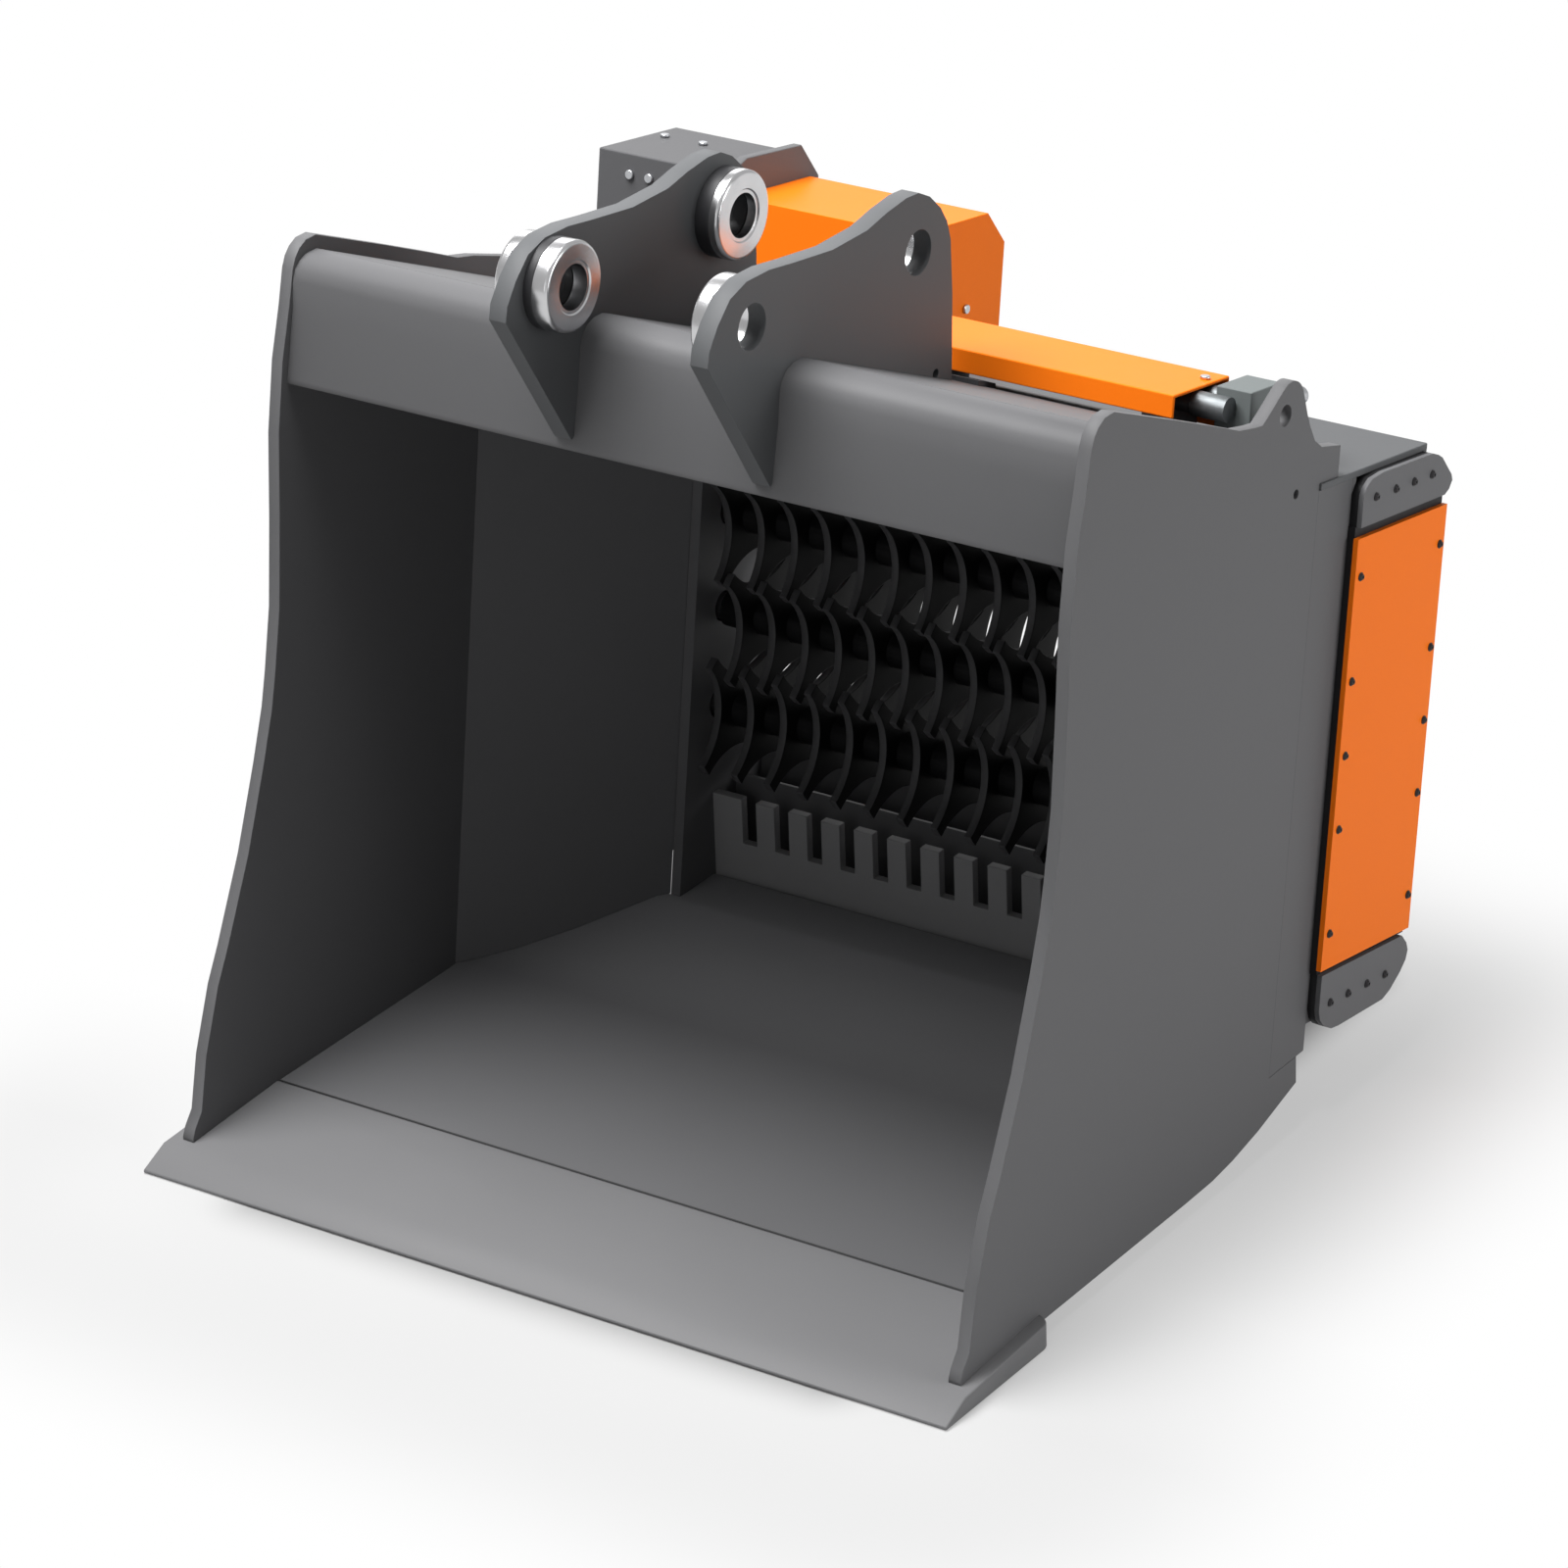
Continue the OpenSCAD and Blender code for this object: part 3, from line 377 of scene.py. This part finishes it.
# Painted light: the comb's coat is about twice as pale as the grey, standing in for light reaching the back
# of the chamber.
comb_paint_painted_light = powder_coat("comb_coat_painted_light", (0.24, 0.24, 0.245), 0.52, 0.10, 0.2)
eased("comb", comb_paint_painted_light, 0.001)


# Side closures: a black rim behind each orange cover, with grey guards above and below, all screwed on.
# Folded and laser cut sheet; the covers have a gloss orange coat and the rims a black one, painted shade in
# the gap behind the covers.
# Painted shade: the rims are coated black, standing in for the shade in the gap behind the covers.
rim_coat_painted_shade = powder_coat("black_rim_coat_painted_shade", (0.012, 0.012, 0.013), 0.5, 0.1, 0.14)
orange_tone = (0.91, 0.180, 0.007)
orange_coat = powder_coat("orange_gloss_coat", orange_tone, 0.34, 0.03, 0.08, 0.06)
guard_paint = powder_coat("satin_grey_guard_coat", (0.117, 0.117, 0.122), 0.46, 0.05, 0.14)
for node in ("rim_left", "rim_right"):
    eased(node, rim_coat_painted_shade, 0.0008)
for node in ("side_cover_left", "side_cover_right"):
    eased(node, orange_coat, 0.0012)
for node in ("upper_guards", "lower_guards"):
    eased(node, guard_paint, 0.002, segments=3)

# Screws of the covers, guards, box and hood: domed socket heads on the covers and hexagon heads on the box.
# Rolled thread screws with blackened or zinc plated heads, pulled down on small washers.
lean = math.radians(9)
screen_low, screen_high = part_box("shaft_2")
screen_y, screen_z = (screen_low.y + screen_high.y) / 2, (screen_low.z + screen_high.z) / 2


def leaned(x, n, s):
    """A point of the leaning screen, n behind and s above the second rotor's axis, in metres."""
    return Vector((x, screen_y + n * math.cos(lean) + s * math.sin(lean),
                   screen_z - n * math.sin(lean) + s * math.cos(lean)))


def plated(name, colour, rough, metal=1.0):
    made, nodes = new_finish(name)
    place = nodes.add("ShaderNodeTexCoord", out=3)
    smear = nodes.add("ShaderNodeTexNoise", inputs={"Vector": place, "Scale": 160.0, "Detail": 4.0})
    tone = nodes.add("ShaderNodeMix", {"data_type": "RGBA"}, {
        0: smear, 6: rgb(colour, 0.78), 7: rgb(colour, 1.2)}, out=2)
    normal = nodes.add("ShaderNodeBump", inputs={"Strength": 0.1, "Distance": 0.0003, "Height": smear})
    close_finish(nodes, nodes.add("ShaderNodeBsdfPrincipled", inputs={
        "Base Color": tone, "Metallic": metal, "Roughness": smear * 0.2 + rough, "Normal": normal}))
    return made


black_oxide = plated("blackened_screws", (0.045, 0.043, 0.045), 0.34)
zinc = plated("zinc_plated_steel", (0.52, 0.53, 0.55), 0.26)


def screw_tree():
    """Screw heads on points that carry a facing direction."""
    tree = bpy.data.node_groups.new("screw heads", "GeometryNodeTree")
    names = {}
    for name, kind in (("Points", "Geometry"), ("Sides", "Int"), ("Head radius", "Float"),
                       ("Head height", "Float"), ("Top share", "Float"), ("Socket share", "Float"),
                       ("Socket depth", "Float"), ("Washer radius", "Float"), ("Washer height", "Float"),
                       ("Finish", "Material")):
        names[name] = tree.interface.new_socket(name=name, in_out="INPUT", socket_type="NodeSocket" + kind)
    tree.interface.new_socket(name="Screws", in_out="OUTPUT", socket_type="NodeSocketGeometry")
    nodes = Nodes(tree)
    entry = tree.nodes.new("NodeGroupInput")
    given = {socket.name: Value(nodes, socket) for socket in entry.outputs if socket.name}
    head = tree.nodes.new("GeometryNodeMeshCone")
    head.fill_type = "NGON"
    for key, value in (("Vertices", given["Sides"]), ("Radius Bottom", given["Head radius"]),
                       ("Radius Top", given["Head radius"] * given["Top share"]),
                       ("Depth", given["Head height"])):
        tree.links.new(value.socket, head.inputs[key])
    inset = tree.nodes.new("GeometryNodeExtrudeMesh")
    inset.inputs["Offset Scale"].default_value = 0.0
    tree.links.new(head.outputs["Mesh"], inset.inputs["Mesh"])
    tree.links.new(head.outputs["Top"], inset.inputs["Selection"])
    tree.links.new((0.0 - given["Socket depth"] * 0.04).socket, inset.inputs["Offset Scale"])
    rim = nodes.add("GeometryNodeScaleElements", {}, {
        "Geometry": Value(nodes, inset.outputs["Mesh"]), "Selection": Value(nodes, inset.outputs["Top"]),
        "Scale": given["Socket share"]})
    well = nodes.add("GeometryNodeExtrudeMesh", {}, {
        "Mesh": rim, "Selection": Value(nodes, inset.outputs["Top"]),
        "Offset Scale": 0.0 - given["Socket depth"]})
    raised = nodes.add("ShaderNodeCombineXYZ", inputs={"Z": given["Washer height"]})
    standing = nodes.add("GeometryNodeTransform", inputs={"Geometry": well, "Translation": raised})
    washer = nodes.add("GeometryNodeMeshCylinder", {"fill_type": "NGON"}, {
        "Vertices": 24, "Radius": given["Washer radius"], "Depth": given["Washer height"]})
    half = nodes.add("ShaderNodeCombineXYZ", inputs={"Z": given["Washer height"] * 0.5})
    lying = nodes.add("GeometryNodeTransform", inputs={"Geometry": washer, "Translation": half})
    both = tree.nodes.new("GeometryNodeJoinGeometry")
    tree.links.new(standing.socket, both.inputs[0])
    tree.links.new(lying.socket, both.inputs[0])
    facing = nodes.add("GeometryNodeInputNamedAttribute", {"data_type": "FLOAT_VECTOR"}, {"Name": "facing"})
    turned = nodes.add("FunctionNodeAlignRotationToVector", {"axis": "Z"}, {"Vector": facing})
    heads = nodes.add("GeometryNodeInstanceOnPoints", {}, {
        "Points": given["Points"], "Instance": Value(nodes, both.outputs[0]), "Rotation": turned})
    real = nodes.add("GeometryNodeRealizeInstances", {}, {"Geometry": heads})
    dressed = nodes.add("GeometryNodeSetMaterial", {}, {"Geometry": real, "Material": given["Finish"]})
    nodes.add("NodeGroupOutput", inputs={0: dressed})
    return tree, {name: socket.identifier for name, socket in names.items()}


screw_nodes, screw_inputs = screw_tree()


def grown(name, points, tree, inputs, values, body, facing=None, edges=()):
    """Runs a Geometry Nodes tree on bare points and keeps its result as a plain mesh."""
    mesh = bpy.data.meshes.new(name + "_points")
    mesh.from_pydata([tuple(p) for p in points], [tuple(e) for e in edges], [])
    if facing:
        attribute = mesh.attributes.new("facing", "FLOAT_VECTOR", "POINT")
        for i, direction in enumerate(facing):
            attribute.data[i].vector = direction
    source = bpy.data.objects.new(name + "_points", mesh)
    bpy.context.scene.collection.objects.link(source)
    maker = source.modifiers.new("maker", "NODES")
    maker.node_group = tree
    for key, value in values.items():
        maker[inputs[key]] = value
    bpy.context.view_layer.update()
    ready = source.evaluated_get(bpy.context.evaluated_depsgraph_get())
    made = bpy.data.meshes.new_from_object(ready)
    made.name = name
    source.modifiers.remove(maker)
    bpy.data.objects.remove(source)
    shape = bmesh.new()
    shape.from_mesh(made)
    bmesh.ops.recalc_face_normals(shape, faces=shape.faces)
    for face in shape.faces:
        face.smooth = True
    shape.to_mesh(made)
    shape.free()
    made.set_sharp_from_angle(angle=math.radians(35))
    piece = bpy.data.objects.new(name, made)
    bpy.context.scene.collection.objects.link(piece)
    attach(piece, body)
    return piece


cover_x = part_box("side_cover_right")[1].x
guard_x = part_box("upper_guards")[1].x
cover_screw_n = (-0.052, 0.126)
cover_screw_s = (-0.182, -0.061, 0.024, 0.109, 0.228)
guard_screws = [(n, 0.314) for n in (-0.032, 0.012, 0.053, 0.094)] + [
    (n, -0.267) for n in (-0.036, 0.004, 0.047, 0.088)]
domed = {"Sides": 24, "Head radius": 0.0042, "Head height": 0.0025, "Top share": 0.68, "Socket share": 0.56,
         "Socket depth": 0.0016, "Washer radius": 0.0050, "Washer height": 0.0008, "Finish": black_oxide}
cover_screws = [(n, s) for n in cover_screw_n for s in cover_screw_s]
for name, node, places, x in (
        ("domed_cover_screws", "cover_bolts", cover_screws, cover_x),
        ("domed_guard_screws", "guard_bolts", guard_screws, guard_x)):
    points = [leaned(side * x, n, s) for side in (-1, 1) for n, s in places]
    facing = [(side, 0, 0) for side in (-1, 1) for _ in places]
    screws = grown(name, points, screw_nodes, screw_inputs, domed, "bucket", facing)
    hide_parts(node)


# Screen: four rotors of star discs on tubes, each on its own shaft in flanged bearings.
# Discs cut from wear plate and welded to the tube, coated nearly black as painted shade with their cut
# edges paler as painted highlight; shafts and housings machined.
def wear_plate(name, colour, shine=0.5, metal=0.2):
    made, nodes = new_finish(name)
    place = nodes.add("ShaderNodeTexCoord", out=3)
    broad = nodes.add("ShaderNodeTexNoise", inputs={"Vector": place, "Scale": 22.0, "Detail": 6.0,
                                                    "Roughness": 0.7})
    scuff = nodes.add("ShaderNodeTexNoise", inputs={"Vector": place, "Scale": 240.0, "Detail": 3.0})
    tone = nodes.add("ShaderNodeMix", {"data_type": "RGBA"}, {
        0: broad, 6: rgb(colour, 0.7), 7: rgb(colour, 1.35)}, out=2)
    normal = nodes.add("ShaderNodeBump", inputs={"Strength": 0.25, "Distance": 0.0005,
                                                 "Height": broad + scuff * 0.5})
    close_finish(nodes, nodes.add("ShaderNodeBsdfPrincipled", inputs={
        "Base Color": tone, "Metallic": metal, "Specular IOR Level": shine,
        "Roughness": broad * 0.2 + 0.45, "Normal": normal}))
    return made


# Painted shade on the disc faces, nearly black; painted highlight on their cut edges, paler.
disc_steel_painted_shade = wear_plate("wear_plate_painted_shade", (0.0065, 0.0065, 0.007), 0.08, 0.0)
disc_edge_painted_highlight = wear_plate("disc_edges_painted_highlight", (0.056, 0.056, 0.058), 0.15, 0.0)
root_r = 0.039
shaft_axes = []
for k in (1, 2, 3, 4):
    low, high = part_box("shaft_%d" % k)
    axis_y, axis_z = (low.y + high.y) / 2, (low.z + high.z) / 2
    shaft_axes.append((axis_y, axis_z))
    rotor = eased("rotor_%d" % k, disc_steel_painted_shade, 0.001, limit=30)
    # Painted highlight: faces round the rim, off the tube, take the paler edge coat.
    rotor.data.materials.append(disc_edge_painted_highlight)
    for face in rotor.data.polygons:
        off_axis = math.hypot(face.center.y - axis_y, face.center.z - axis_z)
        if abs(face.normal.x) < 0.5 and off_axis > root_r:
            face.material_index = 1
shaft_steel = turned_steel("turned_shaft_steel", shaft_axes, (0.46, 0.46, 0.47), 0.24, 0.0009)
for k in (1, 2, 3, 4):
    eased("shaft_%d" % k, shaft_steel, 0.0012)
    eased("sprocket_%d" % k, shaft_steel, 0.0005, segments=1)
housing_cast = wear_plate("cast_bearing_housings", (0.16, 0.16, 0.165))
eased("bearing_housings", housing_cast, 0.0018)
hexagon = {"Sides": 6, "Head radius": 0.0065, "Head height": 0.0044, "Top share": 0.93, "Socket share": 0.9,
           "Socket depth": 0.0002, "Washer radius": 0.0066, "Washer height": 0.0008, "Finish": zinc}
flange_t = 0.010
flange_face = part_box("chamber_wall_right")[1].x + flange_t
rotor_pitch, bolt_off = 0.1175, 0.036
bearing_points, bearing_facing = [], []
for side in (-1, 1):
    for k in range(4):
        for a in (-bolt_off, bolt_off):
            for b in (-bolt_off, bolt_off):
                bearing_points.append(leaned(side * flange_face, a, (k - 1) * rotor_pitch + b))
                bearing_facing.append((side, 0, 0))
bearing_screws = grown("hexagon_bearing_screws", bearing_points, screw_nodes, screw_inputs,
                       dict(hexagon, **{"Head radius": 0.0058, "Washer radius": 0.006}), "bucket",
                       bearing_facing)
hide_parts("bearing_bolts")


# Drive: a hydraulic motor on a thick plate, its sprocket, and roller chains from rotor to rotor.
# Chains are pressed side plates with rollers between; the motor is a painted casting.
def link_tree():
    """Chain links set along a closed line, every second one wider, with a roller in each."""
    tree = bpy.data.node_groups.new("roller chain", "GeometryNodeTree")
    names = {}
    for name, kind in (("Line", "Geometry"), ("Pitch", "Float"), ("Plate height", "Float"),
                       ("Plate thickness", "Float"), ("Inner width", "Float"), ("Roller radius", "Float"),
                       ("Finish", "Material")):
        names[name] = tree.interface.new_socket(name=name, in_out="INPUT", socket_type="NodeSocket" + kind)
    tree.interface.new_socket(name="Chain", in_out="OUTPUT", socket_type="NodeSocketGeometry")
    nodes = Nodes(tree)
    entry = tree.nodes.new("NodeGroupInput")
    given = {socket.name: Value(nodes, socket) for socket in entry.outputs if socket.name}
    line = nodes.add("GeometryNodeMeshToCurve", {}, {"Mesh": given["Line"]})
    spaced = nodes.add("GeometryNodeResampleCurve", {"mode": "LENGTH"}, {
        "Curve": line, "Length": given["Pitch"]})
    along = nodes.add("GeometryNodeInputTangent")
    turned = nodes.add("FunctionNodeAlignRotationToVector", {"axis": "Y", "pivot_axis": "X"}, {
        "Vector": along})
    size = nodes.add("ShaderNodeCombineXYZ", inputs={
        "X": given["Plate thickness"], "Y": given["Pitch"] * 1.32, "Z": given["Plate height"]})
    plate = nodes.add("GeometryNodeMeshCube", {}, {"Size": size})
    sides = tree.nodes.new("GeometryNodeJoinGeometry")
    for side in (-1.0, 1.0):
        shift = nodes.add("ShaderNodeCombineXYZ", inputs={"X": given["Inner width"] * (side * 0.5)})
        moved = nodes.add("GeometryNodeTransform", {}, {"Geometry": plate, "Translation": shift})
        tree.links.new(moved.socket, sides.inputs[0])
    roller = nodes.add("GeometryNodeMeshCylinder", {"fill_type": "NGON"}, {
        "Vertices": 12, "Radius": given["Roller radius"], "Depth": given["Inner width"] * 1.25})
    across = nodes.add("GeometryNodeTransform", {}, {"Geometry": roller, "Rotation": (0, math.pi / 2, 0)})
    tree.links.new(across.socket, sides.inputs[0])
    index = nodes.add("GeometryNodeInputIndex")
    odd = nodes.add("ShaderNodeMath", {"operation": "MODULO"}, {0: index, 1: 2.0})
    wide = nodes.add("ShaderNodeCombineXYZ", inputs={"X": odd * 0.22 + 0.9, "Y": 1.0, "Z": 1.0})
    links = nodes.add("GeometryNodeInstanceOnPoints", {}, {
        "Points": spaced, "Instance": Value(nodes, sides.outputs[0]), "Rotation": turned, "Scale": wide})
    real = nodes.add("GeometryNodeRealizeInstances", {}, {"Geometry": links})
    dressed = nodes.add("GeometryNodeSetMaterial", {}, {"Geometry": real, "Material": given["Finish"]})
    nodes.add("NodeGroupOutput", inputs={0: dressed})
    return tree, {name: socket.identifier for name, socket in names.items()}


link_nodes, link_inputs = link_tree()
chain_steel = plated("oiled_chain_steel", (0.11, 0.105, 0.10), 0.3)
motor_low, motor_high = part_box("motor_shaft")
motor_y, motor_z = (motor_low.y + motor_high.y) / 2, (motor_low.z + motor_high.z) / 2


def loop_points(x, low, high, radius, arc=24):
    """A closed line round two equal sprockets."""
    way = math.atan2(high[1] - low[1], high[0] - low[0])
    points = []
    for centre, start in ((high, way - math.pi / 2), (low, way + math.pi / 2)):
        for step in range(arc + 1):
            a = start + math.pi * step / arc
            points.append((x, centre[0] + radius * math.cos(a), centre[1] + radius * math.sin(a)))
    return points


chain_line_r = 0.0448
inner_x, middle_x, outer_x = -0.398, -0.420, -0.442
chain_points, chain_edges = [], []
for x, low, high in ((inner_x, shaft_axes[0], shaft_axes[1]), (inner_x, shaft_axes[2], shaft_axes[3]),
                     (middle_x, shaft_axes[1], shaft_axes[2]),
                     (outer_x, shaft_axes[3], (motor_y, motor_z))):
    points = loop_points(x, low, high, chain_line_r)
    first = len(chain_points)
    chain_points += points
    chain_edges += [(first + i, first + (i + 1) % len(points)) for i in range(len(points))]
chains = grown("roller_chains", chain_points, link_nodes, link_inputs, {
    "Pitch": 0.0127, "Plate height": 0.0100, "Plate thickness": 0.0011, "Inner width": 0.0072,
    "Roller radius": 0.0026, "Finish": chain_steel}, "bucket", edges=chain_edges)
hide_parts("drive_chains")

motor_coat = powder_coat("black_motor_paint", (0.018, 0.018, 0.019), 0.4, 0.15, 0.3)
eased("motor", motor_coat, 0.003, segments=3)
motor_steel = turned_steel("turned_motor_shaft", [(motor_y, motor_z)], (0.46, 0.46, 0.47), 0.24, 0.0009)
eased("motor_shaft", motor_steel, 0.0012)
eased("motor_sprocket", motor_steel, 0.0005, segments=1)
eased("motor_bolts", zinc, 0.0006)
eased("motor_plate", shell_paint, 0.0014)
# Painted shade: the chain box's coat is the satin grey made darker.
box_paint_painted_shade = powder_coat("satin_grey_box_coat_painted_shade", (0.088, 0.088, 0.092), 0.48, 0.05, 0.14)
eased("chain_box", box_paint_painted_shade, 0.0022, segments=3)
eased("box_bolts", zinc, 0.0012)


# Orange hood over the motor and orange channel over the hoses.
# Folded from thin sheet with small bend radii, coated in the covers' orange.
eased("motor_cover", orange_coat, 0.0034, segments=3, limit=25)
eased("hood_bolts", zinc, 0.0012)
eased("hose_cover", orange_coat, 0.0018, segments=3)
eased("cover_brackets", shell_paint, 0.0008)


# Hydraulics: two hoses from the motor to a port block, with pressed ferrules and two open couplers.
# Rubber hoses with a fine wrapped surface; fittings, block and couplers are plated steel.
def hose_rubber():
    made, nodes = new_finish("wrapped_hose_rubber")
    place = nodes.add("ShaderNodeTexCoord", out=3)
    wrap = nodes.add("ShaderNodeTexWave", {"wave_type": "BANDS", "bands_direction": "X"}, {
        "Vector": place, "Scale": 190.0, "Distortion": 0.4})
    dust = nodes.add("ShaderNodeTexNoise", inputs={"Vector": place, "Scale": 30.0, "Detail": 4.0})
    tone = nodes.add("ShaderNodeMix", {"data_type": "RGBA"}, {
        0: dust, 6: rgb((0.012, 0.012, 0.013)), 7: rgb((0.030, 0.029, 0.028))}, out=2)
    normal = nodes.add("ShaderNodeBump", inputs={"Strength": 0.2, "Distance": 0.0004, "Height": wrap})
    close_finish(nodes, nodes.add("ShaderNodeBsdfPrincipled", inputs={
        "Base Color": tone, "Roughness": dust * 0.15 + 0.5, "Normal": normal}))
    return made


eased("hoses", hose_rubber(), 0)
dull_zinc = plated("dulled_zinc_ferrules", (0.15, 0.16, 0.165), 0.42)
block_coat = powder_coat("phosphated_port_block", (0.135, 0.150, 0.150), 0.5, 0.1, 0.2)
eased("hose_fittings", dull_zinc, 0.0015)
eased("manifold", block_coat, 0.0018)
eased("couplers", zinc, 0.0012)


# Stage: a pale floor, four soft lights and the photograph's camera. To the camera the floor is a mix of
# its own shade and plain white, darker under the object and just in front of it.
floor_mesh = bpy.data.meshes.new("studio_floor")
floor_mesh.from_pydata([(-30, -30, 0), (30, -30, 0), (30, 30, 0), (-30, 30, 0)], [], [(0, 1, 2, 3)])
floor = bpy.data.objects.new("studio_floor", floor_mesh)
bpy.context.scene.collection.objects.link(floor)
floor.location.z = cad_box[0][2] - 0.0005
made, nodes = new_finish("studio_floor_white")
seen = nodes.add("ShaderNodeLightPath", out=0)
mirrored = nodes.add("ShaderNodeLightPath", out=3)
through = nodes.add("ShaderNodeLightPath", out=6)
place = nodes.add("ShaderNodeTexCoord", out=3)
east = nodes.add("ShaderNodeSeparateXYZ", inputs={"Vector": place}, out=0)
north = nodes.add("ShaderNodeSeparateXYZ", inputs={"Vector": place}, out=1)


def outside(half_x, half_y, start, end, low, high):
    """Rises from low to high with the distance outside a rectangle round the object's middle."""
    x = (((east ** 2) ** 0.5) - half_x).most(0.0)
    y = (((north ** 2) ** 0.5) - half_y).most(0.0)
    return nodes.add("ShaderNodeMapRange", {"interpolation_type": "SMOOTHSTEP"},
                     {0: (x ** 2 + y ** 2) ** 0.5, 1: start, 2: end, 3: low, 4: high})


# Painted shadow: under the hull the floor turns darker and hides its white, standing in for the shadow
# there.
under_painted_shadow = outside(0.37, 0.53, 0.0, 0.09, 0.0, 1.0)
clear = outside(0.50, 0.56, 0.02, 0.40, 0.46, 1.0)
# Painted shadow: the white is made up to 18 percent darker just in front of the object.
before = nodes.add("ShaderNodeMapRange", inputs={0: north, 1: -0.2, 2: -0.5, 3: 0.0, 4: 1.0})
white_with_front_painted_shadow = 1.0 - (1.0 - outside(0.50, 0.56, 0.10, 0.50, 0.0, 1.0)) * before * 0.18
shown = (seen + mirrored + through) * clear * under_painted_shadow
# The floor's own shade is darker under the hull, painted shadow.
floor_albedo_with_painted_shadow = nodes.add("ShaderNodeMix", {"data_type": "RGBA"}, {
    0: under_painted_shadow, 6: (0.26, 0.26, 0.26, 1), 7: (0.50, 0.50, 0.50, 1)}, out=2)
plain = nodes.add("ShaderNodeBsdfDiffuse", inputs={"Color": floor_albedo_with_painted_shadow})
glow = nodes.add("ShaderNodeCombineXYZ", inputs={"X": white_with_front_painted_shadow, "Y": white_with_front_painted_shadow, "Z": white_with_front_painted_shadow})
white = nodes.add("ShaderNodeEmission", inputs={"Color": glow, "Strength": 1.0})
close_finish(nodes, nodes.add("ShaderNodeMixShader", inputs={0: shown, 1: plain, 2: white}))
floor_mesh.materials.append(made)

world = bpy.data.worlds.new("studio_room")
bpy.context.scene.world = world
world.use_nodes = True
world.node_tree.nodes.clear()
nodes = Nodes(world.node_tree)
seen = nodes.add("ShaderNodeLightPath", out=0)
mirrored = nodes.add("ShaderNodeLightPath", out=3)
through = nodes.add("ShaderNodeLightPath", out=6)
room = nodes.add("ShaderNodeBackground", inputs={"Color": (1, 1, 1, 1), "Strength": 0.16})
bright = nodes.add("ShaderNodeBackground", inputs={"Color": (1, 1, 1, 1), "Strength": 1.0})
mixed = nodes.add("ShaderNodeMixShader", inputs={
    0: seen + through + mirrored * 0.5, 1: room, 2: bright})
nodes.add("ShaderNodeOutputWorld", inputs={"Surface": mixed})


def softbox(name, at, towards, width, height, power):
    lamp = bpy.data.lights.new(name, "AREA")
    lamp.shape, lamp.size, lamp.size_y, lamp.energy = "RECTANGLE", width, height, power
    light = bpy.data.objects.new(name, lamp)
    bpy.context.scene.collection.objects.link(light)
    light.location = at
    light.rotation_euler = (Vector(towards) - Vector(at)).to_track_quat("-Z", "Y").to_euler()


softbox("overhead_softbox", (-0.9, -0.7, 4.6), (0, -0.1, 0.4), 3.0, 3.0, 430)
softbox("rear_softbox", (-3.4, 4.4, 3.2), (0, 0, 0.9), 3.4, 3.0, 55)
softbox("right_softbox", (5.0, 1.2, 1.6), (0, 0, 0.5), 2.4, 2.4, 112)
softbox("front_softbox", (0.8, -5.2, 2.2), (0, 0, 0.5), 2.2, 2.2, 14)

azimuth, elevation, roll = math.radians(35.01), math.radians(25.63), math.radians(-2.0)
level = Vector((math.cos(azimuth), math.sin(azimuth), 0))
back = Vector((math.sin(azimuth) * math.cos(elevation), -math.cos(azimuth) * math.cos(elevation),
               math.sin(elevation)))
upright = back.cross(level)
right = math.cos(roll) * level + math.sin(roll) * upright
up = -math.sin(roll) * level + math.cos(roll) * upright
spot = (0.15964 * right + 0.4457 * up + 7.157 * back) + Vector((0, -0.351211, 0.030))
lens = bpy.data.cameras.new("photograph_camera")
lens.sensor_width, lens.lens = 36, 150.75
lens.clip_end = 100
camera = bpy.data.objects.new("photograph_camera", lens)
bpy.context.scene.collection.objects.link(camera)
camera.matrix_world = Matrix.Translation(spot) @ Matrix((right, up, back)).transposed().to_4x4()
bpy.context.scene.camera = camera
bpy.context.scene.view_settings.view_transform = "Standard"

bpy.context.view_layer.update()
